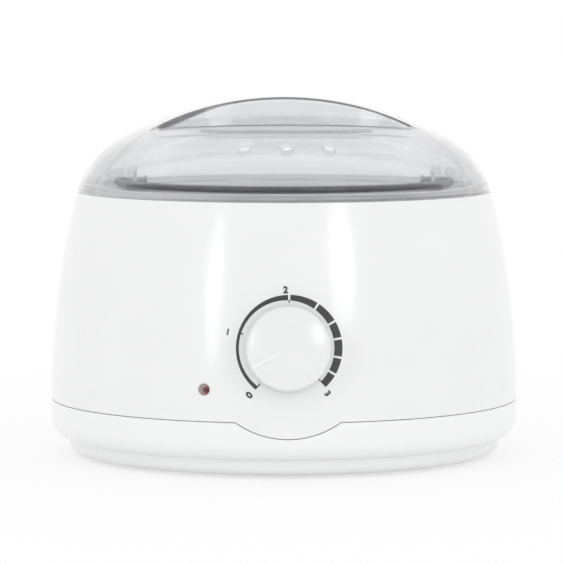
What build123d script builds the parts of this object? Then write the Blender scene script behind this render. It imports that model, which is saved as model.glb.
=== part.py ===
from build123d import *
from math import asin, cos, degrees, radians, sin, sqrt, tan
import os

os.makedirs("parts", exist_ok=True)

# Wax warmer, in millimetres. Z is up, the dial faces -Y, and the origin is on the axis of the round
# body, on the plane that the four rubber pads stand on.

# Overall form
body_radius = 95.0          # widest, at the seam between the two housings
rim_inset = 10.8            # from the widest place in to where the lid meets the upper housing
foot_step = 7.3             # from the widest place in to the side of the foot
pad_stand = 1.2             # how far the rubber pads stand out below the foot
foot_height = 6.5
seam_height = 21.7          # above the bottom of the foot
rim_height = 105.8          # above the bottom of the foot
crown_height = 38.7         # of the lid, above the rim
housing_wall = 2.5
seam_gap = 0.3              # shadow gap between the two housings
seat_gap = 0.2              # under the lid's edge, and under other parts that lift off
lid_wall = 2.2

rim_radius = body_radius - rim_inset
foot_radius = body_radius - foot_step
foot_z = pad_stand
step_z = foot_z + foot_height
seam_z = foot_z + seam_height
rim_z = foot_z + rim_height
crown_z = rim_z + crown_height

# The side of the upper housing is one arc, upright at the seam
side_drop = body_radius - rim_radius
side_rise = rim_z - seam_z
side_radius = (side_rise**2 + side_drop**2) / (2 * side_drop)
side_centre = body_radius - side_radius
inner_radius = side_radius - housing_wall
rim_inner = side_centre + sqrt(inner_radius**2 - side_rise**2)     # inside of the wall at the rim


def side_at(z):
    """Outside radius of the upper housing at height z."""
    return side_centre + sqrt(side_radius**2 - (z - seam_z) ** 2)


def lean_at(z):
    """Angle in degrees by which the side of the upper housing leans back at height z."""
    return degrees(asin((z - seam_z) / side_radius))


# Dial: its plane touches the side of the housing and faces outwards
dial_height = 50.5          # above the bottom of the foot
dial_z = foot_z + dial_height
dial_lean = radians(lean_at(dial_z))
dial = Plane(
    origin=(0, -side_at(dial_z), dial_z),
    x_dir=(1, 0, 0),
    z_dir=(0, -cos(dial_lean), sin(dial_lean)),
)
scallop_radius = 35.1       # the seam dips round the dial on this circle

# Fasteners
screw_fit = 0.05            # radial gap round a screw's shank in its hole
hole_play = 0.2             # radial gap round a screw in a clearance hole
pilot_spare = 1.5           # a pilot hole is this much deeper than its screw
slot_width = 1.0            # driver slots
slot_depth = 0.9
cut_clear = 1.0             # how far a cutting tool runs past the face that it starts at


def on_circle(radius, angle, z=0.0, facing=0.0):
    """Place at that radius, angle and height, turned so that its X runs outwards."""
    a = radians(angle)
    return Location((radius * cos(a), radius * sin(a), z), (0, 0, angle + facing))


def bends(route):
    """Bend radius at each inner point of a wire's route, as wide as its two runs allow."""
    points = [Vector(p) for p in route]
    radii = []
    for before, here, after in zip(points, points[1:], points[2:]):
        turn = radians((here - before).get_angle(after - here))
        shorter_run = min((here - before).length, (after - here).length)
        radii.append(0.45 * shorter_run / tan(turn / 2))
    return radii


def save(piece, name):
    """Labels one finished piece and writes its file."""
    piece.part.label = name
    export_step(piece.part, f"parts/{name}.step")


# Screws that join the housings
tower_angles = [45, 135, 225, 315]
tower_setback = 23.0        # from the body's widest place in to the screws' ring
tower_ring = body_radius - tower_setback
tower_radius = 4.2
tower_drop = 10.5           # below the seam
tower_foot_z = seam_z - tower_drop
tower_rib = 2.2
tower_rib_lift = 5.0        # above the seam
housing_screw_radius = 1.5
housing_screw_grip = 18.0   # of the shank inside the tower
housing_head_radius = 2.8
housing_head_height = 2.2
post_radius = 4.8
post_seat = 4.0             # plastic between the screw head and the tower's end

floor_recess = 3.0          # the floor lies this far above the bottom of the foot
floor_under_z = foot_z + floor_recess
floor_top_z = floor_under_z + housing_wall
head_seat_z = tower_foot_z - post_seat

# Terminal block, on two bosses of the floor
block_setback = 31.0        # from the body's widest place in to the middle of the block
block_y = body_radius - block_setback
block_width = 34.0
block_depth = 14.0
block_height = 12.0
block_pitch = 11.0
block_boss_height = 3.0
block_z = floor_top_z + block_boss_height
block_bore = 1.7
block_bore_lift = 5.0       # from the block's foot up to its bores
block_bore_z = block_z + block_bore_lift
block_boss_radius = 2.8
block_screw_radius = 1.2
block_screw_head = 2.0
block_screw_bite = 4.0      # of the shank in the boss
block_screw_places = [(-block_pitch / 2, block_y), (block_pitch / 2, block_y)]
grub_radius = 1.4

# Top deck: a ring that drops on to a shelf inside the upper housing, with the lid's collar and the
# seat for the well
shelf_width = 2.0           # of the shelf, in from the wall
shelf_thickness = 2.0
deck_play = 0.15            # between the deck's edge and the wall, at the rim
deck_thickness = 2.5
collar_play = 2.4           # between the collar and the inside of the lid's wall, at its edge
collar_thickness = 2.0
collar_height = 3.0
deck_land = 6.0             # flat of the deck between the collar and the well's recess
well_seat_depth = 2.8
ledge_width = 5.1           # of the ledge in the recess, out from the hole that the well hangs through
web_thickness = 2.5
boss_offset = 4.2           # from the recess out to the bosses for the well's brackets, under the deck
boss_radius = 3.6
boss_drop = 8.8             # from the rim down to the bosses' feet
boss_foot_z = rim_z - boss_drop
deck_under_z = rim_z - deck_thickness
boss_angles = [90, 210, 330]
well_screw_radius = 1.5
well_screw_length = 7.0
well_head_radius = 2.8
well_head_height = 2.0
bracket_wall = 1.2
collar_radius = rim_radius - lid_wall - collar_play         # outside; the lid drops over it
well_seat_radius = collar_radius - collar_thickness - deck_land
well_hole_radius = well_seat_radius - ledge_width
boss_ring = well_seat_radius + boss_offset

# Heating well: a drawn aluminium cup that hangs by its flange on a gasket in the deck
gasket_thickness = 0.8
gasket_play = 0.2
well_wall = 1.5
well_play = 1.5             # between the side of the well and its hole in the deck
well_depth = 60.0           # from the top of the flange to the inside of its floor
flange_play = 0.4           # between the flange and its recess
well_round = 5.0            # on the centre of the sheet
well_neck_round = 2.0
well_radius = well_hole_radius - well_play                  # outside
well_flange_radius = well_seat_radius - flange_play
ledge_z = rim_z - well_seat_depth
well_flange_z = ledge_z + gasket_thickness
well_top_z = well_flange_z + well_wall
well_floor_z = well_top_z - well_depth
well_under_z = well_floor_z - well_wall
tower_clear = 0.1           # the screw towers end this far below the well's underside
tower_top_z = well_under_z - tower_clear

# Dial features in the wall
pad_face = 4.3              # the flat pad inside the wall, this far behind the dial plane
pad_start = 2.4
pad_width = 35.0
pad_tall = 35.0
pad_bite = 1.0              # the neck's hole runs this far past the pad
neck_radius = 4.0           # the thermostat's neck in the wall
neck_play = 0.2
dial_screw_pitch = 24.0     # the two screws that hold the thermostat
dial_screw_radius = 1.5
dial_head_radius = 2.9
dial_head_sunk = 0.3        # the head lies this far behind the dial plane

# Lamp
lamp_angle = 250.0          # round the body, from +X; the front is 270
lamp_height = 34.2          # above the bottom of the foot
lens_radius = 2.2
lens_play = 0.1
lens_dome = 0.8
lens_flange_radius = 3.6
lens_flange = 1.0
lamp_z = foot_z + lamp_height
lamp_lean = radians(lean_at(lamp_z))
lamp_azimuth = radians(lamp_angle)
lamp_out = Vector(cos(lamp_azimuth) * cos(lamp_lean), sin(lamp_azimuth) * cos(lamp_lean), sin(lamp_lean))
lamp_plane = Plane(
    origin=(side_at(lamp_z) * cos(lamp_azimuth), side_at(lamp_z) * sin(lamp_azimuth), lamp_z),
    x_dir=(-sin(lamp_azimuth), cos(lamp_azimuth), 0),
    z_dir=lamp_out,
)

# Cord gland, at the back
gland_height = 34.8         # above the bottom of the foot
gland_bore = 3.3
gland_grip = 5.0            # length of the narrow bore, at the gland's inner end
gland_mouth = 4.2           # radius that it flares to, so that the cord can bend
gland_neck_radius = 4.8
gland_play = 0.1
gland_flange_radius = 7.0
gland_flange = 1.5
gland_collar_radius = 5.8
gland_collar = 1.5
gland_nose_radius = 4.7     # of the nose behind the collar
gland_nose = 4.0
gland_gap = 0.05            # between the gland and the wall, in front and behind
gland_z = foot_z + gland_height
gland_flange_y = side_at(gland_z - gland_flange_radius) + gland_gap
gland_collar_reach = side_at(gland_z + gland_collar_radius) - housing_wall
gland_collar_y = sqrt(gland_collar_reach**2 - gland_collar_radius**2) - gland_gap

# Seam between the housings: the wall of both, less the part that belongs to the other
tab_trim = 2.0
tab_low_z = dial_z - scallop_radius - tab_trim
dial_reach = 20.0           # the dial's cutting tools start this far in front of its plane

with BuildPart() as under_seam:
    with BuildSketch(Plane.XY.offset(seam_z + seam_gap / 2)):
        Rectangle(3 * body_radius, 3 * body_radius)
    extrude(amount=-body_radius)
    with BuildSketch(dial.offset(dial_reach)):
        Circle(scallop_radius - seam_gap / 2)
    extrude(amount=-3 * dial_reach, mode=Mode.SUBTRACT)

with BuildPart() as upper_housing:
    # side wall, with the straight skirt that the round tab is cut from
    with BuildSketch(Plane.XZ):
        with BuildLine():
            outer_end = (rim_radius, rim_z)
            outer_mid = (side_at((seam_z + rim_z) / 2), (seam_z + rim_z) / 2)
            inner_mid = (side_centre + sqrt(inner_radius**2 - (side_rise / 2) ** 2), (seam_z + rim_z) / 2)
            Line((body_radius, tab_low_z), (body_radius, seam_z))
            ThreePointArc((body_radius, seam_z), outer_mid, outer_end)
            Line(outer_end, (rim_inner, rim_z))
            ThreePointArc((rim_inner, rim_z), inner_mid, (body_radius - housing_wall, seam_z))
            Line((body_radius - housing_wall, seam_z), (body_radius - housing_wall, tab_low_z))
            Line((body_radius - housing_wall, tab_low_z), (body_radius, tab_low_z))
        make_face()
    revolve(axis=Axis.Z)
    add(under_seam.part, mode=Mode.SUBTRACT)
    # shelf for the deck
    with BuildSketch(Plane.XZ):
        with BuildLine():
            shelf_under_z = deck_under_z - shelf_thickness
            shelf_root = rim_radius - housing_wall / 4
            Polyline(
                (shelf_root, deck_under_z),
                (rim_inner - shelf_width, deck_under_z),
                (rim_inner - shelf_width, shelf_under_z),
                (shelf_root, shelf_under_z),
                close=True,
            )
        make_face()
    revolve(axis=Axis.Z)
    # screw towers, each tied to the wall by a rib
    with BuildSketch(Plane.XY.offset(tower_foot_z)):
        with Locations(*[on_circle(tower_ring, a) for a in tower_angles]):
            Circle(tower_radius)
    extrude(amount=tower_top_z - tower_foot_z)
    rib_reach = side_at(tower_top_z) - housing_wall / 2
    with BuildSketch(Plane.XY.offset(seam_z + tower_rib_lift)):
        with Locations(*[on_circle((tower_ring + rib_reach) / 2, a) for a in tower_angles]):
            Rectangle(rib_reach - tower_ring, tower_rib)
    extrude(amount=tower_top_z - seam_z - tower_rib_lift)
    # flat pad behind the dial
    with BuildSketch(dial.offset(-pad_start)):
        Rectangle(pad_width, pad_tall)
    extrude(amount=-(pad_face - pad_start))
    # holes: tower pilots, thermostat neck and screws, lamp, cord
    with BuildSketch(Plane.XY.offset(tower_foot_z)):
        with Locations(*[on_circle(tower_ring, a) for a in tower_angles]):
            Circle(housing_screw_radius + screw_fit)
    extrude(amount=housing_screw_grip + pilot_spare, mode=Mode.SUBTRACT)
    with BuildSketch(dial.offset(cut_clear)):
        Circle(neck_radius + neck_play)
    extrude(amount=-(pad_face + pad_bite + cut_clear), mode=Mode.SUBTRACT)
    with Locations(dial):
        with Locations((0, dial_screw_pitch / 2), (0, -dial_screw_pitch / 2)):
            CounterSinkHole(
                dial_screw_radius + hole_play,
                dial_head_radius + dial_head_sunk + hole_play,
                depth=pad_face + pad_bite,
                counter_sink_angle=90,
            )
    with BuildSketch(lamp_plane.offset(cut_clear)):
        Circle(lens_radius + lens_play)
    extrude(amount=-(housing_wall + 2 * cut_clear), mode=Mode.SUBTRACT)
    with BuildSketch(Plane.XZ.offset(-(gland_flange_y + cut_clear))):
        with Locations((0, gland_z)):
            Circle(gland_neck_radius + gland_play)
    extrude(amount=housing_wall + 4 * cut_clear, mode=Mode.SUBTRACT)
save(upper_housing, "upper_housing")

with BuildPart() as top_deck:
    # deck with the lid's locating collar, and the ledge that carries the well
    with BuildSketch(Plane.XZ):
        with BuildLine():
            ledge_under_z = ledge_z - deck_thickness
            web_radius = well_seat_radius + web_thickness
            Polyline(
                (rim_inner - deck_play, rim_z),
                (collar_radius, rim_z),
                (collar_radius, rim_z + collar_height),
                (collar_radius - collar_thickness, rim_z + collar_height),
                (collar_radius - collar_thickness, rim_z),
                (well_seat_radius, rim_z),
                (well_seat_radius, ledge_z),
                (well_hole_radius, ledge_z),
                (well_hole_radius, ledge_under_z),
                (web_radius, ledge_under_z),
                (web_radius, deck_under_z),
                (rim_inner - deck_play, deck_under_z),
                close=True,
            )
        make_face()
    revolve(axis=Axis.Z)
    # bosses under the deck for the well's brackets, with their pilot holes
    with BuildSketch(Plane.XY.offset(boss_foot_z)):
        with Locations(*[on_circle(boss_ring, a) for a in boss_angles]):
            Circle(boss_radius)
    extrude(amount=deck_under_z - boss_foot_z + deck_thickness / 2)
    with BuildSketch(Plane.XY.offset(boss_foot_z)):
        with Locations(*[on_circle(boss_ring, a) for a in boss_angles]):
            Circle(well_screw_radius + screw_fit)
    extrude(amount=well_screw_length - bracket_wall + pilot_spare / 2, mode=Mode.SUBTRACT)
save(top_deck, "top_deck")

# Lower housing: a dish with a stepped foot, a floor with air slots, screw posts and pad cups
foot_round = 4.0
foot_rim = 7.2              # width of the foot's ring, under the floor
foot_bead_radius = foot_radius - foot_rim
body_round = body_radius - foot_radius
skin_round = body_round - housing_wall
lip_gap = 0.3
lip_thickness = 1.6
lip_rise = 3.5
lip_drop = 8.5
pad_setback = 27.0          # from the body's widest place in to the pads' ring
pad_ring = body_radius - pad_setback
pad_radius = 6.0
pad_angles = [0, 90, 180, 270]
cup_wall = 1.4
cup_play = 0.15
cup_depth = 1.8
air_slot_count = 20
air_slot_length = 20.0
air_slot_inset = 26.0       # from the screws' ring in to the middle of the slots
air_slot_ring = tower_ring - air_slot_inset
air_slot_width = 3.0

lip_out = body_radius - housing_wall - lip_gap
lip_in = lip_out - lip_thickness

with BuildPart() as tab_room:
    with BuildSketch(dial.offset(dial_reach)):
        Circle(scallop_radius + seam_gap / 2)
    extrude(amount=-2 * dial_reach)
    with BuildSketch():
        Circle(lip_out)
    extrude(amount=2 * rim_z, mode=Mode.SUBTRACT)

with BuildPart() as lower_housing:
    with BuildSketch(Plane.XZ):
        with BuildLine():
            turn = cos(radians(45))
            round_z = step_z + body_round
            outer_turn = (foot_radius + body_round * turn, round_z - body_round * turn)
            inner_turn = (foot_radius + skin_round * turn, round_z - skin_round * turn)
            foot_centre = (foot_radius - foot_round, foot_z + foot_round)
            foot_turn = (foot_centre[0] + foot_round * turn, foot_centre[1] - foot_round * turn)
            skin_z = round_z - skin_round
            Line((0, floor_under_z), (foot_bead_radius, floor_under_z))
            Line((foot_bead_radius, floor_under_z), (foot_bead_radius, foot_z))
            Line((foot_bead_radius, foot_z), (foot_centre[0], foot_z))
            ThreePointArc((foot_centre[0], foot_z), foot_turn, (foot_radius, foot_centre[1]))
            Line((foot_radius, foot_centre[1]), (foot_radius, step_z))
            ThreePointArc((foot_radius, step_z), outer_turn, (body_radius, round_z))
            Line((body_radius, round_z), (body_radius, seam_z))
            Line((body_radius, seam_z), (body_radius - housing_wall, seam_z))
            Line((body_radius - housing_wall, seam_z), (body_radius - housing_wall, round_z))
            ThreePointArc((body_radius - housing_wall, round_z), inner_turn, (foot_radius, skin_z))
            Line((foot_radius, skin_z), (foot_radius - housing_wall, skin_z))
            Line((foot_radius - housing_wall, skin_z), (foot_radius - housing_wall, floor_top_z))
            Line((foot_radius - housing_wall, floor_top_z), (0, floor_top_z))
            Line((0, floor_top_z), (0, floor_under_z))
        make_face()
    revolve(axis=Axis.Z)
    # the wall stops at the seam
    with BuildSketch(Plane.XY.offset(seam_z - seam_gap / 2)):
        Circle(2 * body_radius)
    extrude(amount=seam_gap, mode=Mode.SUBTRACT)
    # locating lip inside the upper housing
    with BuildSketch(Plane.XZ):
        with BuildLine():
            Polyline(
                (lip_in, seam_z - lip_drop),
                (body_radius - housing_wall, seam_z - lip_drop),
                (body_radius - housing_wall, seam_z - seam_gap),
                (lip_out, seam_z - seam_gap),
                (lip_out, seam_z + lip_rise),
                (lip_in, seam_z + lip_rise),
                close=True,
            )
        make_face()
    revolve(axis=Axis.Z)
    # room for the round tab of the upper housing
    add(tab_room.part, mode=Mode.SUBTRACT)
    # posts that carry the screw towers, bosses for the terminal block, and cups for the pads
    with BuildSketch(Plane.XY.offset(floor_under_z)):
        with Locations(*[on_circle(tower_ring, a) for a in tower_angles]):
            Circle(post_radius)
    extrude(amount=tower_foot_z - floor_under_z)
    with BuildSketch(Plane.XY.offset(floor_under_z)):
        with Locations(*block_screw_places):
            Circle(block_boss_radius)
    extrude(amount=block_z - floor_under_z)
    with BuildSketch(Plane.XY.offset(block_z)):
        with Locations(*block_screw_places):
            Circle(block_screw_radius + screw_fit)
    extrude(amount=-(block_screw_bite + pilot_spare / 2), mode=Mode.SUBTRACT)
    with BuildSketch(Plane.XY.offset(floor_under_z)):
        with Locations(*[on_circle(pad_ring, a) for a in pad_angles]):
            Circle(pad_radius + cup_play + cup_wall)
            Circle(pad_radius + cup_play, mode=Mode.SUBTRACT)
    extrude(amount=-cup_depth)
    with BuildSketch(Plane.XY.offset(foot_z)):
        with Locations(*[on_circle(tower_ring, a) for a in tower_angles]):
            Circle(housing_head_radius + 2 * hole_play)
    extrude(amount=head_seat_z - foot_z, mode=Mode.SUBTRACT)
    with BuildSketch(Plane.XY.offset(foot_z)):
        with Locations(*[on_circle(tower_ring, a) for a in tower_angles]):
            Circle(housing_screw_radius + hole_play)
    extrude(amount=tower_foot_z - foot_z, mode=Mode.SUBTRACT)
    # air slots in the floor
    with BuildSketch(Plane.XY.offset(floor_under_z)):
        with PolarLocations(air_slot_ring, air_slot_count):
            SlotOverall(air_slot_length, air_slot_width)
    extrude(amount=housing_wall, mode=Mode.SUBTRACT)
save(lower_housing, "lower_housing")

with BuildPart() as housing_screws:
    with BuildSketch(Plane.XY.offset(head_seat_z - housing_head_height)):
        with Locations(*[on_circle(tower_ring, a) for a in tower_angles]):
            Circle(housing_head_radius)
    extrude(amount=housing_head_height)
    with BuildSketch(Plane.XY.offset(head_seat_z)):
        with Locations(*[on_circle(tower_ring, a) for a in tower_angles]):
            Circle(housing_screw_radius)
    extrude(amount=tower_foot_z - head_seat_z + housing_screw_grip)
    with BuildSketch(Plane.XY.offset(head_seat_z - housing_head_height)):
        with Locations(*[on_circle(tower_ring, a) for a in tower_angles]):
            Rectangle(3 * housing_head_radius, slot_width)
            Rectangle(slot_width, 3 * housing_head_radius)
    extrude(amount=slot_depth, mode=Mode.SUBTRACT)
save(housing_screws, "housing_screws")

pad_chamfer = 0.6
with BuildPart() as foot_pads:
    with BuildSketch():
        with Locations(*[on_circle(pad_ring, a) for a in pad_angles]):
            Circle(pad_radius)
    extrude(amount=floor_under_z)
    chamfer(foot_pads.edges().group_by(Axis.Z)[0], length=pad_chamfer)
save(foot_pads, "foot_pads")

with BuildPart() as well_gasket:
    with BuildSketch(Plane.XY.offset(ledge_z)):
        Circle(well_seat_radius - gasket_play)
        Circle(well_hole_radius + gasket_play, mode=Mode.SUBTRACT)
    extrude(amount=gasket_thickness)
save(well_gasket, "well_gasket")


def drawn_cup(radius, wall, flange_radius, floor_under, flange_under, floor_round, neck_round):
    """Cross-section of a flanged cup pressed from sheet: flat floor, upright side and flat flange."""
    middle = wall / 2
    with BuildSketch(Plane.XZ) as section:
        with BuildLine() as sheet:
            FilletPolyline(
                (0, floor_under + middle),
                (radius - middle, floor_under + middle),
                (radius - middle, flange_under + middle),
                (flange_radius, flange_under + middle),
                radius=(floor_round, neck_round),
            )
        trace(sheet.line, line_width=wall)
        with Locations((-body_radius, (floor_under + flange_under) / 2)):
            Rectangle(2 * body_radius, 2 * body_radius, mode=Mode.SUBTRACT)
    return section.sketch


well_section = drawn_cup(
    well_radius, well_wall, well_flange_radius, well_under_z, well_flange_z, well_round, well_neck_round
)
with BuildPart() as heating_well:
    add(well_section)
    revolve(axis=Axis.Z)
save(heating_well, "heating_well")

# Brackets that pull the well down on to its seat
bracket_width = 12.0
bracket_leg = 4.4
bracket_overhang = 4.5      # past the screw
bracket_gap = 0.02          # between the brackets and the side of the well
bracket_z = boss_foot_z - bracket_wall
bracket_reach = boss_ring + bracket_overhang

with BuildPart() as well_brackets:
    with Locations(*[Location((0, 0, 0), (0, 0, a)) for a in boss_angles]):
        with Locations(((well_radius + bracket_reach) / 2, 0, bracket_z + bracket_wall / 2)):
            Box(bracket_reach - well_radius, bracket_width, bracket_wall)
        with Locations((well_radius + bracket_wall / 2, 0, bracket_z + bracket_leg / 2)):
            Box(bracket_wall, bracket_width, bracket_leg)
    Cylinder(well_radius + bracket_gap, 4 * well_depth, mode=Mode.SUBTRACT)
    with BuildSketch(Plane.XY.offset(bracket_z)):
        with Locations(*[on_circle(boss_ring, a) for a in boss_angles]):
            Circle(well_screw_radius + hole_play)
    extrude(amount=bracket_wall, mode=Mode.SUBTRACT)
save(well_brackets, "well_brackets")

with BuildPart() as well_screws:
    with BuildSketch(Plane.XY.offset(bracket_z - well_head_height)):
        with Locations(*[on_circle(boss_ring, a) for a in boss_angles]):
            Circle(well_head_radius)
    extrude(amount=well_head_height)
    with BuildSketch(Plane.XY.offset(bracket_z)):
        with Locations(*[on_circle(boss_ring, a) for a in boss_angles]):
            Circle(well_screw_radius)
    extrude(amount=well_screw_length)
    with BuildSketch(Plane.XY.offset(bracket_z - well_head_height)):
        with Locations(*[on_circle(boss_ring, a) for a in boss_angles]):
            Rectangle(3 * well_head_radius, slot_width)
    extrude(amount=slot_depth, mode=Mode.SUBTRACT)
save(well_screws, "well_screws")

# Heater band round the well, split at the back and drawn tight by two clamp screws
band_gap = 0.15
band_thickness = 1.8
band_clear = 8.0            # from the well's floor and from the brackets
band_low_z = well_floor_z + band_clear
band_high_z = bracket_z - band_clear
split_width = 8.0
ear_thickness = 1.5
ear_length = 9.0
ear_width = 10.0
clamp_radius = 1.5
clamp_head_radius = 2.75
clamp_head = 2.0
nut_across = 5.5
nut_thickness = 2.4
ear_inset = 3.0             # from the band's edges to its ears
ear_root = 0.8              # how deep the ears are rooted in the band
clamp_tail = 1.5            # of the clamp screws past their nuts
clamp_reach = 5.0           # from the band to the clamp screws
band_inner = well_radius + band_gap
band_outer = band_inner + band_thickness
clamp_heights = [band_low_z + ear_width / 2 + ear_inset, band_high_z - ear_width / 2 - ear_inset]

with BuildPart() as heater_band:
    with BuildSketch(Plane.XY.offset(band_low_z)):
        Circle(band_outer)
        Circle(band_inner, mode=Mode.SUBTRACT)
        with Locations((0, band_outer)):
            Rectangle(split_width, 5 * band_thickness, mode=Mode.SUBTRACT)
    extrude(amount=band_high_z - band_low_z)
    ear_y = band_outer + (ear_length - ear_root) / 2
    for side in (-1, 1):
        for z in clamp_heights:
            with Locations((side * (split_width + ear_thickness) / 2, ear_y, z)):
                Box(ear_thickness, ear_length + ear_root, ear_width)
    with Locations(*[Location((0, band_outer + clamp_reach, z), (0, 90, 0)) for z in clamp_heights]):
        Cylinder(clamp_radius + hole_play, split_width + 4 * ear_thickness, mode=Mode.SUBTRACT)
save(heater_band, "heater_band")

ear_face_x = split_width / 2 + ear_thickness
clamp_planes = [
    Plane(origin=(ear_face_x, band_outer + clamp_reach, z), x_dir=(0, 1, 0), z_dir=(1, 0, 0))
    for z in clamp_heights
]
clamp_length = 2 * ear_face_x + nut_thickness + clamp_tail

with BuildPart() as clamp_screws:
    for plane in clamp_planes:
        with BuildSketch(plane):
            Circle(clamp_head_radius)
        extrude(amount=clamp_head)
        with BuildSketch(plane):
            Circle(clamp_radius)
        extrude(amount=-clamp_length)
        with BuildSketch(plane.offset(clamp_head)):
            Rectangle(3 * clamp_head_radius, slot_width)
        extrude(amount=-slot_depth, mode=Mode.SUBTRACT)
save(clamp_screws, "clamp_screws")

with BuildPart() as clamp_nuts:
    for plane in clamp_planes:
        with BuildSketch(plane.offset(-2 * ear_face_x)):
            RegularPolygon(nut_across / 2, 6, major_radius=False)
            Circle(clamp_radius + screw_fit, mode=Mode.SUBTRACT)
        extrude(amount=-nut_thickness)
save(clamp_nuts, "clamp_nuts")

# Insulation felt round the heater band
felt_gap = 0.2
felt_thickness = 3.0
felt_split = 34.0
felt_overlap = 3.0          # past the band, above and below
with BuildPart() as insulation_felt:
    with BuildSketch(Plane.XY.offset(band_low_z - felt_overlap)):
        Circle(band_outer + felt_gap + felt_thickness)
        Circle(band_outer + felt_gap, mode=Mode.SUBTRACT)
        with Locations((0, band_outer)):
            Rectangle(felt_split, 4 * felt_thickness, mode=Mode.SUBTRACT)
    extrude(amount=band_high_z - band_low_z + 2 * felt_overlap)
save(insulation_felt, "insulation_felt")

# Thermostat behind the dial: plate with a neck, case, terminals, spindle, capillary and bulb
plate_thickness = 1.0
plate_width = 33.0
plate_tall = 33.0
case_width = 31.0
case_tall = 30.0
case_depth = 14.0
spindle_radius = 3.0
spindle_play = 0.06
spindle_reach = 9.5         # in front of the dial plane
spindle_tail = 12.5         # behind the dial plane
spindle_flat = 0.7
knob_foot = 0.9             # gap between the knob's foot and the dial plane
collar_ring_radius = 4.4
collar_ring = 1.4
neck_front = 0.6            # the neck ends this far behind the dial plane
case_front = pad_face + plate_thickness
socket_radius = 5.2         # room in the case for the spindle and its collar
socket_depth = 9.0
plate_corner = 3.0
case_corner = 2.0
case_screw_room = 3.0       # room in the case for the ends of its screws
case_screw_tail = 1.0       # of the screws past the plate
flat_run = 0.3              # the spindle's flat ends this far short of the knob's foot
collar_ring_gap = 0.4

with BuildPart() as thermostat_plate:
    with BuildSketch(dial.offset(-pad_face)):
        RectangleRounded(plate_width, plate_tall, plate_corner)
    extrude(amount=-plate_thickness)
    with BuildSketch(dial.offset(-neck_front)):
        Circle(neck_radius)
    extrude(amount=-(pad_face - neck_front))
    with BuildSketch(dial):
        Circle(spindle_radius + spindle_play)
        with Locations((0, dial_screw_pitch / 2), (0, -dial_screw_pitch / 2)):
            Circle(dial_screw_radius + screw_fit)
    extrude(amount=-(case_front + cut_clear), mode=Mode.SUBTRACT)
save(thermostat_plate, "thermostat_plate")

with BuildPart() as thermostat_case:
    with BuildSketch(dial.offset(-case_front)):
        Rectangle(case_width, case_tall)
    extrude(amount=-case_depth)
    fillet(thermostat_case.edges().filter_by(Axis(dial.origin, dial.z_dir)), radius=case_corner)
    with BuildSketch(dial.offset(-case_front)):
        Circle(socket_radius)
    extrude(amount=-socket_depth, mode=Mode.SUBTRACT)
    with BuildSketch(dial.offset(-case_front)):
        with Locations((0, dial_screw_pitch / 2), (0, -dial_screw_pitch / 2)):
            Circle(dial_screw_radius + hole_play)
    extrude(amount=-case_screw_room, mode=Mode.SUBTRACT)
save(thermostat_case, "thermostat_case")

terminal_width = 6.3
terminal_thickness = 0.8
terminal_length = 8.0
terminal_pitch = 18.0
terminal_inset = 4.0        # from the back of the case to the terminals
terminal_back = case_front + case_depth - terminal_inset
terminal_planes = [
    Plane(
        origin=dial.from_local_coords((x, -case_tall / 2, -terminal_back)),
        x_dir=dial.x_dir,
        z_dir=-dial.y_dir,
    )
    for x in (-terminal_pitch / 2, terminal_pitch / 2)
]

with BuildPart() as thermostat_terminals:
    for plane in terminal_planes:
        with BuildSketch(plane):
            Rectangle(terminal_width, terminal_thickness)
        extrude(amount=terminal_length)
save(thermostat_terminals, "thermostat_terminals")

with BuildPart() as thermostat_screws:
    for y in (dial_screw_pitch / 2, -dial_screw_pitch / 2):
        seat_point = dial.from_local_coords((0, y, -dial_head_sunk))
        seat = Plane(origin=seat_point, x_dir=dial.x_dir, z_dir=dial.z_dir)
        head_depth = dial_head_radius - dial_screw_radius
        with BuildSketch(seat):
            Circle(dial_head_radius)
        with BuildSketch(seat.offset(-head_depth)):
            Circle(dial_screw_radius)
        loft()
        with BuildSketch(seat.offset(-head_depth)):
            Circle(dial_screw_radius)
        extrude(amount=-(pad_face + plate_thickness + case_screw_tail - head_depth))
        with BuildSketch(seat):
            Rectangle(3 * dial_head_radius, slot_width)
        extrude(amount=-slot_depth, mode=Mode.SUBTRACT)
save(thermostat_screws, "thermostat_screws")

with BuildPart() as thermostat_spindle:
    with BuildSketch(dial.offset(spindle_reach)):
        Circle(spindle_radius)
    extrude(amount=-(spindle_reach + spindle_tail))
    with BuildSketch(dial.offset(spindle_reach)):
        with Locations((0, 2 * spindle_radius - spindle_flat)):
            Rectangle(3 * spindle_radius, 2 * spindle_radius)
    extrude(amount=-(spindle_reach - knob_foot + flat_run), mode=Mode.SUBTRACT)
    with BuildSketch(dial.offset(-(case_front + collar_ring_gap))):
        Circle(collar_ring_radius)
    extrude(amount=-collar_ring)
save(thermostat_spindle, "thermostat_spindle")

# Knob
knob_radius = 16.6          # at its foot
knob_front_radius = 16.0
knob_height = 12.0          # edge of the face, in front of the dial plane
knob_dome_radius = 47.0
knob_edge_round = 1.6
knob_wall = 1.8
knob_face = 2.4
knob_boss_radius = 5.4
pointer_start = 4.1
pointer_end = 15.2
pointer_width = 1.5
pointer_proud = 0.45
pointer_root = 1.5          # how deep the pointer is rooted in the face
pointer_angle = 207.0       # anticlockwise from the dial's X, seen from the front
spindle_room = 0.4          # in front of the spindle's end
dome_rise = knob_dome_radius - sqrt(knob_dome_radius**2 - knob_front_radius**2)
dome_top = knob_height + dome_rise
dome_centre = dome_top - knob_dome_radius


def dome_at(r):
    """Height of the knob's face in front of the dial plane, at radius r."""
    return dome_centre + sqrt(knob_dome_radius**2 - r**2)


knob_section = Plane(origin=dial.origin, x_dir=dial.x_dir, z_dir=-dial.y_dir)
dial_axis = Axis(dial.origin, dial.z_dir)

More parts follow.
